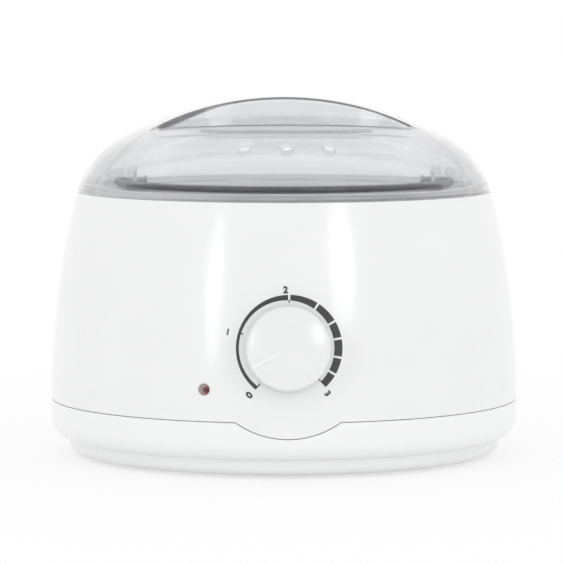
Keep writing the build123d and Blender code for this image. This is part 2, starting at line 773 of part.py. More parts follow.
with BuildPart() as pointer:
    with BuildSketch(dial.offset(knob_height - pointer_root)):
        with Locations(Location((0, 0), pointer_angle)):
            with Locations(((pointer_start + pointer_end) / 2, 0)):
                SlotOverall(pointer_end - pointer_start, pointer_width)
    extrude(amount=dome_rise + 2 * pointer_root + pointer_proud)
    with BuildSketch(knob_section):
        with Locations((0, dome_centre)):
            Circle(knob_dome_radius + pointer_proud)
            Rectangle(
                2 * knob_dome_radius,
                4 * knob_dome_radius,
                align=(Align.MAX, Align.CENTER),
                mode=Mode.SUBTRACT,
            )
    revolve(axis=dial_axis, mode=Mode.INTERSECT)

with BuildPart() as knob:
    with BuildSketch(knob_section) as knob_profile:
        with BuildLine():
            Line((0, knob_foot), (knob_radius, knob_foot))
            Line((knob_radius, knob_foot), (knob_front_radius, knob_height))
            ThreePointArc(
                (knob_front_radius, knob_height),
                (knob_front_radius / 2, dome_at(knob_front_radius / 2)),
                (0, dome_top),
            )
            Line((0, dome_top), (0, knob_foot))
        make_face()
        rim_corner = knob_profile.vertices().sort_by_distance((knob_front_radius, knob_height))[0]
        fillet(rim_corner, radius=knob_edge_round)
    revolve(axis=dial_axis)
    # hollow behind the face, with the boss that grips the spindle
    with BuildSketch(dial.offset(knob_foot)):
        Circle(knob_front_radius - knob_wall)
        Circle(knob_boss_radius, mode=Mode.SUBTRACT)
    extrude(amount=knob_height - knob_face - knob_foot, mode=Mode.SUBTRACT)
    with BuildSketch(dial.offset(knob_foot)):
        Circle(spindle_radius + screw_fit)
        with Locations((0, 2 * spindle_radius - spindle_flat + screw_fit)):
            Rectangle(3 * spindle_radius, 2 * spindle_radius, mode=Mode.SUBTRACT)
    extrude(amount=spindle_reach + spindle_room - knob_foot, mode=Mode.SUBTRACT)
    add(pointer.part)
save(knob, "knob")

# Indicator lamp: lens pressed into the wall, neon bulb and its holder behind it
bulb_radius = 2.0
bulb_length = 9.0
holder_wall = 0.8
holder_length = 8.0
holder_play = 0.1
bulb_round = 0.8
lamp_gap = 0.1              # behind the wall, and between the lens and the bulb
lens_back = housing_wall + lamp_gap

with BuildPart() as indicator_lens:
    with BuildSketch(lamp_plane.offset(-lens_back)):
        Circle(lens_radius)
    extrude(amount=lens_back + lens_dome)
    tip = indicator_lens.faces().sort_by(Axis(lamp_plane.origin, lamp_plane.z_dir))[-1]
    fillet(tip.edges(), radius=lens_dome)
    with BuildSketch(lamp_plane.offset(-lens_back)):
        Circle(lens_flange_radius)
    extrude(amount=-lens_flange)
save(indicator_lens, "indicator_lens")

lamp_back = lens_back + lens_flange + lamp_gap
with BuildPart() as neon_bulb:
    with BuildSketch(lamp_plane.offset(-lamp_back)):
        Circle(bulb_radius)
    extrude(amount=-bulb_length)
    fillet(neon_bulb.edges(), radius=bulb_round)
save(neon_bulb, "neon_bulb")

with BuildPart() as lamp_holder:
    with BuildSketch(lamp_plane.offset(-lamp_back)):
        Circle(bulb_radius + holder_play + holder_wall)
        Circle(bulb_radius + holder_play, mode=Mode.SUBTRACT)
    extrude(amount=-holder_length)
save(lamp_holder, "lamp_holder")

# Cord gland
gland_round = 0.9
with BuildPart() as cord_gland:
    with BuildSketch(Plane.XY.offset(gland_z)):
        with BuildLine():
            gland_front_y = gland_flange_y + gland_flange
            collar_back_y = gland_collar_y - gland_collar
            gland_back_y = collar_back_y - gland_nose
            Polyline(
                (gland_bore, gland_back_y),
                (gland_nose_radius, gland_back_y),
                (gland_nose_radius, collar_back_y),
                (gland_collar_radius, collar_back_y),
                (gland_collar_radius, gland_collar_y),
                (gland_neck_radius, gland_collar_y),
                (gland_neck_radius, gland_flange_y),
                (gland_flange_radius, gland_flange_y),
                (gland_flange_radius, gland_front_y),
                (gland_mouth, gland_front_y),
                (gland_bore, gland_back_y + gland_grip),
                close=True,
            )
        make_face()
    revolve(axis=Axis((0, 0, gland_z), (0, 1, 0)))
    front_edges = cord_gland.edges().group_by(Axis.Y)[-1].sort_by(SortBy.RADIUS)
    fillet(front_edges[-1], radius=gland_round)
save(cord_gland, "cord_gland")

# Under the well: the thermostat's sensing bulb and the thermal fuse, each under a strap
bulb_rod_radius = 2.0
bulb_rod_length = 45.0
fuse_length = 12.0
fuse_lead_radius = 0.5
fuse_lead = 10.0
under_gap = 0.05
strap_wall = 1.0
strap_width = 8.0
strap_foot = 5.0
strap_play = 0.15
rod_round = 1.1
fuse_round = 0.8
rod_z = well_under_z - bulb_rod_radius - under_gap
bulb_y = -30.0
fuse_y = 28.0

with BuildPart() as sensing_bulb:
    with Locations(Location((0, bulb_y, rod_z), (0, 90, 0))):
        Cylinder(bulb_rod_radius, bulb_rod_length)
    fillet(sensing_bulb.edges().filter_by(GeomType.CIRCLE), radius=rod_round)
save(sensing_bulb, "sensing_bulb")

with BuildPart() as thermal_fuse:
    with Locations(Location((0, fuse_y, rod_z), (0, 90, 0))):
        Cylinder(bulb_rod_radius, fuse_length)
    fillet(thermal_fuse.edges().filter_by(GeomType.CIRCLE), radius=fuse_round)
    with Locations(Location((0, fuse_y, rod_z), (0, 90, 0))):
        Cylinder(fuse_lead_radius, fuse_length + 2 * fuse_lead)
save(thermal_fuse, "thermal_fuse")

with BuildPart() as well_straps:
    loop_half = bulb_rod_radius + strap_play + strap_wall
    loop_low_z = rod_z - loop_half
    for y in (bulb_y, fuse_y):
        with BuildSketch(Plane.YZ.offset(-strap_width / 2)):
            with Locations((y, (loop_low_z + well_under_z) / 2)):
                Rectangle(2 * loop_half, well_under_z - loop_low_z)
                Rectangle(
                    2 * (loop_half - strap_wall),
                    well_under_z - loop_low_z,
                    mode=Mode.SUBTRACT,
                )
            with Locations((y, loop_low_z + strap_wall / 2)):
                Rectangle(2 * loop_half, strap_wall)
            for side in (-1, 1):
                with Locations((y + side * (loop_half + strap_foot / 2), well_under_z - strap_wall / 2)):
                    Rectangle(strap_foot, strap_wall)
        extrude(amount=strap_width)
save(well_straps, "well_straps")

# Capillary tube from the thermostat to its sensing bulb
capillary_radius = 0.8
capillary_start = dial.from_local_coords((-10, -8, -(case_front + case_depth)))
capillary_route = [
    capillary_start,
    (-10, capillary_start.Y + 9, rod_z - 1.8),
    (-20, bulb_y - 24, rod_z - 4.5),
    (-36, bulb_y - 17, rod_z - 4.5),
    (-40, bulb_y - 6, rod_z - 2),
    (-34, bulb_y, rod_z),
    (-bulb_rod_length / 2, bulb_y, rod_z),
]
with BuildPart() as capillary_tube:
    with BuildLine() as route:
        FilletPolyline(*capillary_route, radius=bends(capillary_route))
    with BuildSketch(route.line ^ 0):
        Circle(capillary_radius)
    sweep()
save(capillary_tube, "capillary_tube")

# Terminal block
block_chamfer = 0.6
block_seat = 3.0            # the screws' heads are sunk this far
block_head_height = 1.6
grub_sunk = 1.2
grub_slot_width = 0.6
grub_slot_depth = 0.7
with BuildPart() as terminal_block:
    with Locations((0, block_y, block_z + block_height / 2)):
        Box(block_width, block_depth, block_height)
    chamfer(terminal_block.edges().group_by(Axis.Z)[-1], length=block_chamfer)
    for x in (-block_pitch, 0, block_pitch):
        with BuildSketch(Plane.XZ.offset(-(block_y + block_depth / 2))):
            with Locations((x, block_bore_z)):
                Circle(block_bore)
        extrude(amount=block_depth, mode=Mode.SUBTRACT)
        with BuildSketch(Plane.XY.offset(block_bore_z)):
            with Locations((x, block_y)):
                Circle(grub_radius + screw_fit)
        extrude(amount=block_height, mode=Mode.SUBTRACT)
    with BuildSketch(Plane.XY.offset(block_z)):
        with Locations(*block_screw_places):
            Circle(block_screw_radius + hole_play)
    extrude(amount=block_height, mode=Mode.SUBTRACT)
    with BuildSketch(Plane.XY.offset(block_z + block_height - block_seat)):
        with Locations(*block_screw_places):
            Circle(block_screw_head + hole_play)
    extrude(amount=block_height, mode=Mode.SUBTRACT)
save(terminal_block, "terminal_block")

wire_radius = 1.0
lamp_wire_radius = 0.6
with BuildPart() as block_grub_screws:
    grub_z = block_bore_z + wire_radius
    grub_length = block_z + block_height - grub_sunk - grub_z
    with BuildSketch(Plane.XY.offset(grub_z)):
        with Locations((-block_pitch, block_y), (0, block_y), (block_pitch, block_y)):
            Circle(grub_radius)
    extrude(amount=grub_length)
    with BuildSketch(Plane.XY.offset(grub_z + grub_length)):
        with Locations((-block_pitch, block_y), (0, block_y), (block_pitch, block_y)):
            Rectangle(3 * grub_radius, grub_slot_width)
    extrude(amount=-grub_slot_depth, mode=Mode.SUBTRACT)
save(block_grub_screws, "block_grub_screws")

with BuildPart() as block_screws:
    block_seat_z = block_z + block_height - block_seat
    with BuildSketch(Plane.XY.offset(block_seat_z)):
        with Locations(*block_screw_places):
            Circle(block_screw_head)
    extrude(amount=block_head_height)
    with BuildSketch(Plane.XY.offset(block_seat_z)):
        with Locations(*block_screw_places):
            Circle(block_screw_radius)
    extrude(amount=-(block_seat_z - block_z + block_screw_bite))
    with BuildSketch(Plane.XY.offset(block_seat_z + block_head_height)):
        with Locations(*block_screw_places):
            Rectangle(3 * block_screw_head, slot_width)
    extrude(amount=-slot_depth, mode=Mode.SUBTRACT)
save(block_screws, "block_screws")

# Studs on the heater band, in the split of the felt
stud_x = 11.5
stud_z = (band_low_z + band_high_z) / 2
stud_radius = 1.6
stud_length = 9.0
stud_root = 0.1             # how far the studs start inside the band, before its round is cut away
stud_y = sqrt(band_outer**2 - (stud_x + stud_radius) ** 2) - stud_root
with BuildPart() as heater_studs:
    for side in (-1, 1):
        with BuildSketch(Plane.XZ.offset(-stud_y)):
            with Locations((side * stud_x, stud_z)):
                Circle(stud_radius)
        extrude(amount=-stud_length)
    Cylinder(band_outer, 4 * rim_z, mode=Mode.SUBTRACT)
save(heater_studs, "heater_studs")

# Wires inside the housing
lug_ring_radius = 3.0
lug_ring = 1.0
lug_setback = 3.5           # from the stud's end to the lug on it
lug_bite = 0.4              # how far the wire's end reaches into its lug
lug_ring_y = stud_y + stud_length - lug_setback
lug_foot_z = stud_z - lug_ring_radius + lug_bite
wire_in = 2.0               # how far a wire goes into the terminal block past its face
blade_ends = [
    dial.from_local_coords((x, -case_tall / 2 - terminal_length, -terminal_back))
    for x in (-terminal_pitch / 2, terminal_pitch / 2)
]
blade_lead = Vector(0, -0.87, -10.0)
block_wire_y = block_y + wire_in

live_route = [
    (-block_pitch, block_wire_y, block_bore_z),
    (-block_pitch, block_y - 18, block_bore_z),
    (-16, block_y - 34, 12),
    (-22, 0, 10.5),
    (-22, blade_ends[0].Y + 48, 10.5),
    (-15, blade_ends[0].Y + 20, 11),
    (-9.5, blade_ends[0].Y + 4.5, 13),
    blade_ends[0] + blade_lead,
    blade_ends[0],
]
switched_route = [
    blade_ends[1],
    blade_ends[1] + blade_lead,
    (11, blade_ends[1].Y + 8.5, 13),
    (20, blade_ends[1].Y + 28.5, 14),
    (30, -24, 17),
    (37, 0, rod_z - 20),
    (39, fuse_y - 8, rod_z - 10),
    (32, fuse_y - 1, rod_z - 1.5),
    (24, fuse_y, rod_z),
    (fuse_length / 2 + fuse_lead, fuse_y, rod_z),
]
fuse_route = [
    (-(fuse_length / 2 + fuse_lead), fuse_y, rod_z),
    (-23, fuse_y, rod_z),
    (-30, fuse_y + 4, rod_z - 1.5),
    (-33, fuse_y + 18, rod_z - 5),
    (-26, lug_ring_y - 7, rod_z - 5),
    (-14, lug_ring_y + 1.8, rod_z + 1),
    (-stud_x, lug_ring_y, band_low_z - 0.5),
    (-stud_x, lug_ring_y, lug_foot_z),
]
neutral_route = [
    (block_pitch, block_wire_y, block_bore_z),
    (block_pitch, block_y - 16, block_bore_z),
    (19, block_y - 24, 17),
    (28, block_y - 18, 24),
    (28, lug_ring_y - 9, rod_z - 9),
    (15, lug_ring_y + 1, rod_z),
    (stud_x, lug_ring_y, band_low_z - 0.5),
    (stud_x, lug_ring_y, lug_foot_z),
]
wire_routes = {
    "live_wire": live_route,
    "switched_wire": switched_route,
    "fuse_wire": fuse_route,
    "neutral_wire": neutral_route,
}
for name, stations in wire_routes.items():
    with BuildPart() as wire:
        with BuildLine() as route:
            FilletPolyline(*stations, radius=bends(stations))
        with BuildSketch(route.line ^ 0):
            Circle(wire_radius)
        sweep()
        if name in ("fuse_wire", "neutral_wire"):
            with BuildSketch(Plane.XZ.offset(-(lug_ring_y + lug_ring / 2))):
                with Locations((stations[-1][0], stud_z)):
                    Circle(lug_ring_radius)
            extrude(amount=lug_ring)
            with BuildSketch(Plane.XZ.offset(-(lug_ring_y + 2 * lug_ring))):
                with Locations((stations[-1][0], stud_z)):
                    Circle(stud_radius + screw_fit)
            extrude(amount=4 * lug_ring, mode=Mode.SUBTRACT)
    save(wire, name)

lamp_wire_pitch = 1.6
lamp_wire_lead = 8.0
with BuildPart() as lamp_wires:
    for side in (-1, 1):
        lead_x = side * lamp_wire_pitch / 2
        lead_z = -(lamp_back + bulb_length)
        lamp_route = [
            lamp_plane.from_local_coords((lead_x, 0, lead_z)),
            lamp_plane.from_local_coords((lead_x, 0, lead_z - lamp_wire_lead)),
            (-24 + side, -54, 23),
            (-18 + side, -34, 17),
            (-10 + side, -8, 15),
            (-3 + side, 18, 15),
            (lead_x, block_y - 22, block_bore_z),
            (lead_x, block_wire_y, block_bore_z),
        ]
        with BuildLine() as route:
            FilletPolyline(*lamp_route, radius=bends(lamp_route))
        with BuildSketch(route.line ^ 0):
            Circle(lamp_wire_radius)
        sweep(path=route.line)
save(lamp_wires, "lamp_wires")

# Wax pot: a drawn aluminium cup with a beaded rim, which lifts out of the well
pot_wall = 1.2
pot_play = 0.9              # between the side of the pot and the well
pot_floor_gap = 0.4
pot_round = 6.0
pot_neck_round = 1.6
pot_flange_inset = 3.8      # from the edge of the well's flange in to the middle of the pot's bead
bead_radius = 1.5
pot_flange_radius = well_flange_radius - pot_flange_inset
pot_radius = well_radius - well_wall - pot_play
pot_flange_z = well_top_z + seat_gap
pot_under_z = well_floor_z + pot_floor_gap
bead_z = pot_flange_z + bead_radius

pot_section = drawn_cup(
    pot_radius, pot_wall, pot_flange_radius, pot_under_z, pot_flange_z, pot_round, pot_neck_round
)
with BuildPart() as wax_pot:
    add(pot_section)
    revolve(axis=Axis.Z)
    with BuildSketch(Plane.XZ):
        with Locations((pot_flange_radius, bead_z)):
            Circle(bead_radius)
    revolve(axis=Axis.Z)
save(wax_pot, "wax_pot")

# Bail with its two lugs, which are welded inside the pot
bail_wire_radius = 1.5
lug_wall = 1.2
lug_width = 12.0
lug_low = 9.0               # below the flange
lug_top = 4.0               # above the pivot
pivot_play = 0.06
lug_round = 3.5
bail_gap = 0.2              # between the bail and the pot's bead, and past the bead's middle
pivot_z = bead_z + bead_radius + bail_wire_radius + bail_gap
bail_radius = pot_flange_radius + bail_gap
bail_bend = 4.5
pin_reach = 3.2             # of the bail's ends inside its lugs
pin_head = 0.7              # by which their heads are larger than the wire
pin_head_length = 1.0
lug_outer = pot_radius - pot_wall
lug_inner = lug_outer - lug_wall
lug_spread = degrees(lug_width / lug_outer)
pin_end = lug_inner - pin_reach

with BuildPart() as bail_lugs:
    for angle in (0, 180):
        with BuildSketch(Plane.XZ.rotated((0, 0, angle - lug_spread / 2))):
            with Locations(((lug_inner + lug_outer) / 2, (pot_flange_z - lug_low + pivot_z + lug_top) / 2)):
                Rectangle(lug_wall, pivot_z + lug_top - pot_flange_z + lug_low)
        revolve(axis=Axis.Z, revolution_arc=lug_spread)
    corners = bail_lugs.edges().filter_by(GeomType.LINE).filter_by(Axis.Z, reverse=True)
    fillet(corners.group_by(Axis.Z)[-1], radius=lug_round)
    with Locations(Location((0, 0, pivot_z), (0, 90, 0))):
        Cylinder(bail_wire_radius + pivot_play, 2 * body_radius, mode=Mode.SUBTRACT)
save(bail_lugs, "bail_lugs")

with BuildPart() as bail_handle:
    with BuildLine() as wire:
        Line((pin_end, 0, pivot_z), (bail_radius - bail_bend, 0, pivot_z))
        RadiusArc(
            (bail_radius - bail_bend, 0, pivot_z), (bail_radius, -bail_bend, pivot_z), bail_bend
        )
        ThreePointArc(
            (bail_radius, -bail_bend, pivot_z),
            (0, -bail_bend - bail_radius, pivot_z),
            (-bail_radius, -bail_bend, pivot_z),
        )
        RadiusArc(
            (-bail_radius, -bail_bend, pivot_z), (-bail_radius + bail_bend, 0, pivot_z), bail_bend
        )
        Line((-bail_radius + bail_bend, 0, pivot_z), (-pin_end, 0, pivot_z))
    with BuildSketch(Plane.YZ.offset(pin_end)):
        with Locations((0, pivot_z)):
            Circle(bail_wire_radius)
    sweep(path=wire.wire())
    for side in (-1, 1):
        with Locations(Location((side * (pin_end - pin_head_length / 2), 0, pivot_z), (0, 90, 0))):
            Cylinder(bail_wire_radius + pin_head, pin_head_length)
save(bail_handle, "bail_handle")

# Lid: a crowned clear dome with two finger pockets that leave a handle between them
lid_low_z = rim_z + seat_gap
crown_radius = 140.0
shoulder_width = 17.2       # from the rim in to where the crown turns into the shoulder
shoulder_start = rim_radius - shoulder_width
crown_centre_z = crown_z - crown_radius
crown_turn = asin(shoulder_start / crown_radius)
start = (shoulder_start, crown_centre_z + crown_radius * cos(crown_turn))
chord = (rim_radius - start[0], lid_low_z - start[1])
inward = (-sin(crown_turn), -cos(crown_turn))
shoulder_radius = (chord[0] ** 2 + chord[1] ** 2) / (2 * (chord[0] * inward[0] + chord[1] * inward[1]))
shoulder_centre = (start[0] + shoulder_radius * inward[0], start[1] + shoulder_radius * inward[1])

pocket_floor_lift = 3.67    # of the pockets' floors above the start of the shoulder
pocket_floor_z = start[1] + pocket_floor_lift
handle_half = 8.0           # half the handle's width in its middle, where it is narrowest
handle_hollow = 100.0       # the handle's sides are hollowed on this radius
pocket_inset = 16.4         # from the start of the shoulder in to the far edge of each pocket
pocket_front = shoulder_start - pocket_inset
pocket_arc_offset = 13.4    # that edge's arc is centred this far past the lid's centre
pocket_arc_radius = pocket_front + pocket_arc_offset
corner_round = 4.0
pocket_floor_round = 0.7
pocket_rim_round = 0.4

vent_offset = 0.3           # from the start of the shoulder out to the middle of the vents
vent_ring = shoulder_start + vent_offset
vent_pitch = 14.1
vent_width = 5.2
vent_length = 5.8


def dome_point(radius, centre, angle):
    return (centre[0] + radius * cos(angle), centre[1] + radius * sin(angle))


def lid_form(inset):
    """Solid inside the lid's outer surface, moved in by inset all over."""
    crown_in = crown_radius - inset
    shoulder_in = shoulder_radius - inset
    middle = (0, crown_centre_z)
    quarter = radians(90)
    top = dome_point(crown_in, middle, quarter)
    crown_mid = dome_point(crown_in, middle, quarter - crown_turn / 2)
    join = dome_point(crown_in, middle, quarter - crown_turn)
    low = asin((lid_low_z - shoulder_centre[1]) / shoulder_in)
    shoulder_mid = dome_point(shoulder_in, shoulder_centre, (quarter - crown_turn + low) / 2)
    foot = dome_point(shoulder_in, shoulder_centre, low)
    below = lid_low_z - lid_wall
    with BuildPart() as form:
        with BuildSketch(Plane.XZ):
            with BuildLine():
                ThreePointArc(top, crown_mid, join)
                ThreePointArc(join, shoulder_mid, foot)
                Polyline(foot, (foot[0], below), (0, below), top)
            make_face()
        revolve(axis=Axis.Z)
        for side in (-1, 1):
            with BuildSketch(Plane.XY.offset(pocket_floor_z - inset)) as pocket:
                with Locations((0, side * (handle_half + handle_hollow))):
                    Circle(handle_hollow + inset)
                with Locations((0, -side * pocket_arc_offset)):
                    Circle(pocket_arc_radius + inset, mode=Mode.INTERSECT)
                fillet(pocket.vertices().sort_by(Axis.X)[0], radius=corner_round + inset)
                fillet(pocket.vertices().sort_by(Axis.X)[-1], radius=corner_round + inset)
            extrude(amount=crown_height, mode=Mode.SUBTRACT)
        pocket_floors = form.faces().filter_by(Axis.Z).filter_by(lambda f: f.center().Z > rim_z)
        fillet(pocket_floors.edges(), radius=pocket_floor_round + inset / 2)
    return form


lid_outside = lid_form(0.0)
lid_inside = lid_form(lid_wall)
with BuildPart() as lid:
    add(lid_outside.part)
    crown = lid.faces().filter_by(GeomType.SPHERE)[0]
    pocket_rims = crown.edges().filter_by(lambda e: e.length < 200 and abs((e @ 0.5).Y) > 1)
    fillet(pocket_rims, radius=pocket_rim_round)
    add(lid_inside.part, mode=Mode.SUBTRACT)
    with BuildSketch(Plane.XY.offset(lid_low_z)):
        Circle(2 * body_radius)
    extrude(amount=-2 * lid_wall, mode=Mode.SUBTRACT)
    with BuildSketch(Plane.XY.offset(lid_low_z)):
        with Locations(*[on_circle(vent_ring, 270 + k * vent_pitch) for k in (-1, 0, 1)]):
            SlotOverall(vent_length, vent_width)
    extrude(amount=crown_height, mode=Mode.SUBTRACT)
save(lid, "lid")
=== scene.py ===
"""Dresses a round wax warmer: white moulded housings, a printed dial, a smoked clear lid and a metal pot.

It is in metres. Z is up, the dial faces -Y, and the origin is where the body's axis meets the floor.
"""

import math
from functools import partialmethod

import bmesh
import bpy
import numpy as np
from bpy.props import FloatProperty, FloatVectorProperty, PointerProperty
from mathutils import Matrix, Vector
from mathutils.geometry import delaunay_2d_cdt


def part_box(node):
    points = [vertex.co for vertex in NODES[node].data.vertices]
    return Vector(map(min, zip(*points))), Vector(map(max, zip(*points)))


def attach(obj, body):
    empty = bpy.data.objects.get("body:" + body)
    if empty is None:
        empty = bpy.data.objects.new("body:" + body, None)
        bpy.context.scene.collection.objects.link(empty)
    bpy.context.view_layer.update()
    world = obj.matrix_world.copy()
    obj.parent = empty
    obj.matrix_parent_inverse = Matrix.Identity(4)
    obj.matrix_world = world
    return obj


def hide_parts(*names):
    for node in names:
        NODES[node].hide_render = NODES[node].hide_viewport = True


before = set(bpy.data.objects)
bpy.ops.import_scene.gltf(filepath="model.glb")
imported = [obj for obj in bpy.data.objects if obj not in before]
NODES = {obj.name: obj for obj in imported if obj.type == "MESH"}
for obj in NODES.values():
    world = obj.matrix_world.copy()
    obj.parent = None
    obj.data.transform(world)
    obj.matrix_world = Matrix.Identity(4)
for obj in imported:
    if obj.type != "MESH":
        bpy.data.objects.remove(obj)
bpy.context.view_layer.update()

bl_info = {
    "name": "Wax warmer",
    "version": (1, 0, 0),
    "blender": (4, 5, 0),
    "location": "3D View > Sidebar > Warmer",
    "description": "Dresses a wax warmer: housings, dial, lid, pot, heater and wiring",
    "category": "Object",
}

MM = 0.001
FULL_TURN = 2 * math.pi
WELD = 1e-7  # vertices nearer than this are one


# Sizes that come from the frame
BODY_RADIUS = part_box("lower_housing")[1][0]
LID_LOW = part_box("lid")[0][2]
LID_RADIUS, _, LID_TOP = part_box("lid")[1]
SEAT_GAP = 0.2 * MM
RIM_Z = LID_LOW - SEAT_GAP


# Settings of the add-on


def length_setting(name, description, default):
    """A length, its default in millimetres."""
    return FloatProperty(name=name, description=description, default=default * MM, unit="LENGTH")


def angle_setting(name, description, default):
    """An angle, its default in degrees."""
    return FloatProperty(name=name, description=description, default=math.radians(default), subtype="ANGLE")


def colour_setting(name, description, default):
    return FloatVectorProperty(name=name, description=description, default=default, subtype="COLOR", size=3)


def plain_setting(name, description, default):
    return FloatProperty(name=name, description=description, default=default, min=0)


class WarmerBody(bpy.types.PropertyGroup):
    """Sizes of the housings that the printed dial and the finishes follow."""

    seam_height: length_setting("Seam height", "Height of the housings' seam above the floor", 22.9)
    dial_height: length_setting("Dial height", "Height of the dial's centre above the floor", 51.7)
    white: colour_setting("White", "Colour of the moulded housings", (0.865, 0.868, 0.872))
    peel: length_setting("Peel", "How far the moulded skin waves", 0.02)


class WarmerDial(bpy.types.PropertyGroup):
    """The printed scale round the knob."""

    scale_radius: length_setting("Scale radius", "Outer radius of the printed scale", 20.5)
    inner_radius: length_setting("Inner radius", "Radius of the circle that is the scale's inner edge", 18.4)
    inner_shift: length_setting("Inner shift", "How far that circle is set off to the left", 1.0)
    number_size: length_setting("Number size", "Height of the printed numbers", 3.4)
    ink: colour_setting("Ink", "Colour of the printed scale", (0.05, 0.05, 0.052))
    # The crescent is painted shade: the knob's shade on the wall, laid as pale ink.
    crescent: colour_setting("Crescent", "Colour of the crescent between scale and knob", (0.79, 0.83, 0.80))


class WarmerLid(bpy.types.PropertyGroup):
    """The smoked clear lid."""

    wall: length_setting("Wall", "Thickness of the lid's wall", 2.2)
    crown_radius: length_setting("Crown radius", "Radius of the crown's arc", 140)
    shoulder_start: length_setting("Shoulder start", "Radius at which the crown turns into the shoulder", 67)
    pocket_floor: length_setting("Pocket floor", "Height of the finger pockets' floors above the rim", 25.3)
    smoke: colour_setting("Smoke", "Tint of the clear plastic", (0.865, 0.87, 0.895))


class WarmerStage(bpy.types.PropertyGroup):
    """Camera and lights."""

    distance: length_setting("Distance", "From the camera to the aim point", 1500)
    lens: plain_setting("Lens", "Focal length in millimetres", 234.5)
    pitch: angle_setting("Pitch", "How far the camera looks down", 4.64)
    azimuth: angle_setting("Azimuth", "How far the camera stands to the left of the dial's axis", 1.0)
    aim_height: length_setting("Aim height", "Height of the point on the axis that the camera aims at", 69.9)
    surround: plain_setting("Surround", "Strength of the studio's light from behind the warmer", 0.98)
    front_light: plain_setting("Front light", "Strength of the light from the camera's side", 0.91)
    front_gloss: plain_setting("Front gloss", "Brightness in a gloss of the camera's side", 0.75)
    softbox: plain_setting("Softbox", "Power of the softboxes, in watts", 0.5)


# Shader maths


class Socket:
    """A value in a material. Python's arithmetic on it adds Math nodes."""

    def __init__(self, finish, output):
        self.finish = finish
        self.output = output

    def _math(self, operation, *others):
        return self.finish.node("Math", enumerate([self, *others]), operation=operation)

    __add__ = __radd__ = partialmethod(_math, "ADD")
    __sub__ = partialmethod(_math, "SUBTRACT")
    __mul__ = __rmul__ = partialmethod(_math, "MULTIPLY")
    root = partialmethod(_math, "SQRT")
    at_most = partialmethod(_math, "MINIMUM")
    at_least = partialmethod(_math, "MAXIMUM")

    def __rsub__(self, other):
        return self * -1.0 + other

    def ramp(self, low, high, start=0.0, end=1.0):
        """This value brought from low..high to start..end, smoothly and held at both ends."""
        values = enumerate([self, low, high, start, end])
        return self.finish.node("MapRange", values, interpolation_type="SMOOTHSTEP", clamp=True)


def span(*parts):
    """Length of the vector with those parts, or the size of a single one."""
    return sum(part * part for part in parts).root()


class Nodes:
    """A node tree under construction."""

    def __init__(self, tree):
        self.tree = tree

    def node(self, kind, inputs=(), output=0, **settings):
        """Adds a shader node: its settings first, then the values or links of its sockets."""
        made = self.tree.nodes.new("ShaderNode" + kind)
        for key, value in settings.items():
            setattr(made, key, value)
        for key, value in dict(inputs).items():
            self._feed(made.inputs[key], value)
        return Socket(self, made.outputs[output])

    def _feed(self, target, value):
        if isinstance(value, Socket):
            self.tree.links.new(value.output, target)
        elif target.type == "RGBA" and len(value) == 3:
            target.default_value = (*value, 1.0)
        else:
            target.default_value = value

    def send(self, name, share, first, second):
        """Sends two shaders, mixed by a share, to the output node of that name."""
        mixed = self.node("MixShader", enumerate([share, first, second]))
        self.tree.links.new(mixed.output, self.tree.nodes[name].inputs["Surface"])

    def seen(self):
        """1 for rays that show the scene to the camera: straight, through clear parts or off a gloss."""
        kinds = ("Is Camera Ray", "Is Transmission Ray", "Is Glossy Ray")
        return sum(self.node("LightPath", output=kind) for kind in kinds).at_most(1.0)


class Finish(Nodes):
    """A material under construction: a Principled shader, and the point being shaded in metres."""

    def __init__(self, name, colour, roughness, **constants):
        self.material = bpy.data.materials.new(name)
        self.material.use_nodes = True
        super().__init__(self.material.node_tree)
        self.shader = self.tree.nodes["Principled BSDF"]
        self.set("Base Color", colour)
        self.set("Roughness", roughness)
        for label, value in constants.items():
            self.set(label.replace("_", " "), value)
        self.point = self.node("TexCoord", output="Object")

    def set(self, label, value):
        self._feed(self.shader.inputs[label], value)

    def coordinates(self, origin=(0, 0, 0)):
        """The three coordinates of the shaded point, from that origin."""
        moved = self.node("VectorMath", {0: self.point, 1: tuple(origin)}, operation="SUBTRACT")
        return [self.node("SeparateXYZ", {0: moved}, axis) for axis in "XYZ"]

    def stretched(self, factors):
        """The shaded point with each coordinate multiplied, for patterns that run one way."""
        return self.node("VectorMath", {0: self.point, 1: factors}, operation="MULTIPLY")

    def noise(self, scale, detail=2.0, roughness=0.5, at=None):
        """Smooth noise from about 0.3 to 0.7; scale is in cells per metre."""
        inputs = {"Vector": at or self.point, "Scale": scale, "Detail": detail, "Roughness": roughness}
        return self.node("TexNoise", inputs)

    def mix(self, factor, first, second):
        """Colour between first and second."""
        return self.node("Mix", {"Factor": factor, 6: first, 7: second}, 2, data_type="RGBA")

    def bump(self, height, distance):
        """Raises the surface by height times distance, in metres."""
        self.set("Normal", self.node("Bump", {"Height": height, "Distance": distance}))


def tinted(colour, factor):
    return tuple(min(1.0, c * factor) for c in colour)


def moulded(name, colour, roughness, peel, coat=0.0):
    """Moulded plastic: a slight wave of the skin, faint clouding, and fine dust in its gloss."""
    finish = Finish(name, colour, roughness, IOR=1.5, Coat_Weight=coat, Coat_Roughness=0.04)
    cloud = finish.noise(35.0, 3.0)
    finish.set("Base Color", finish.mix(cloud.ramp(0.35, 0.65), tinted(colour, 0.992), tinted(colour, 1.006)))
    dust = finish.noise(900.0, 2.0)
    finish.set("Roughness", roughness + 0.05 * cloud + 0.04 * dust.ramp(0.45, 0.7))
    finish.bump(finish.noise(160.0, 1.0), peel)
    return finish.material


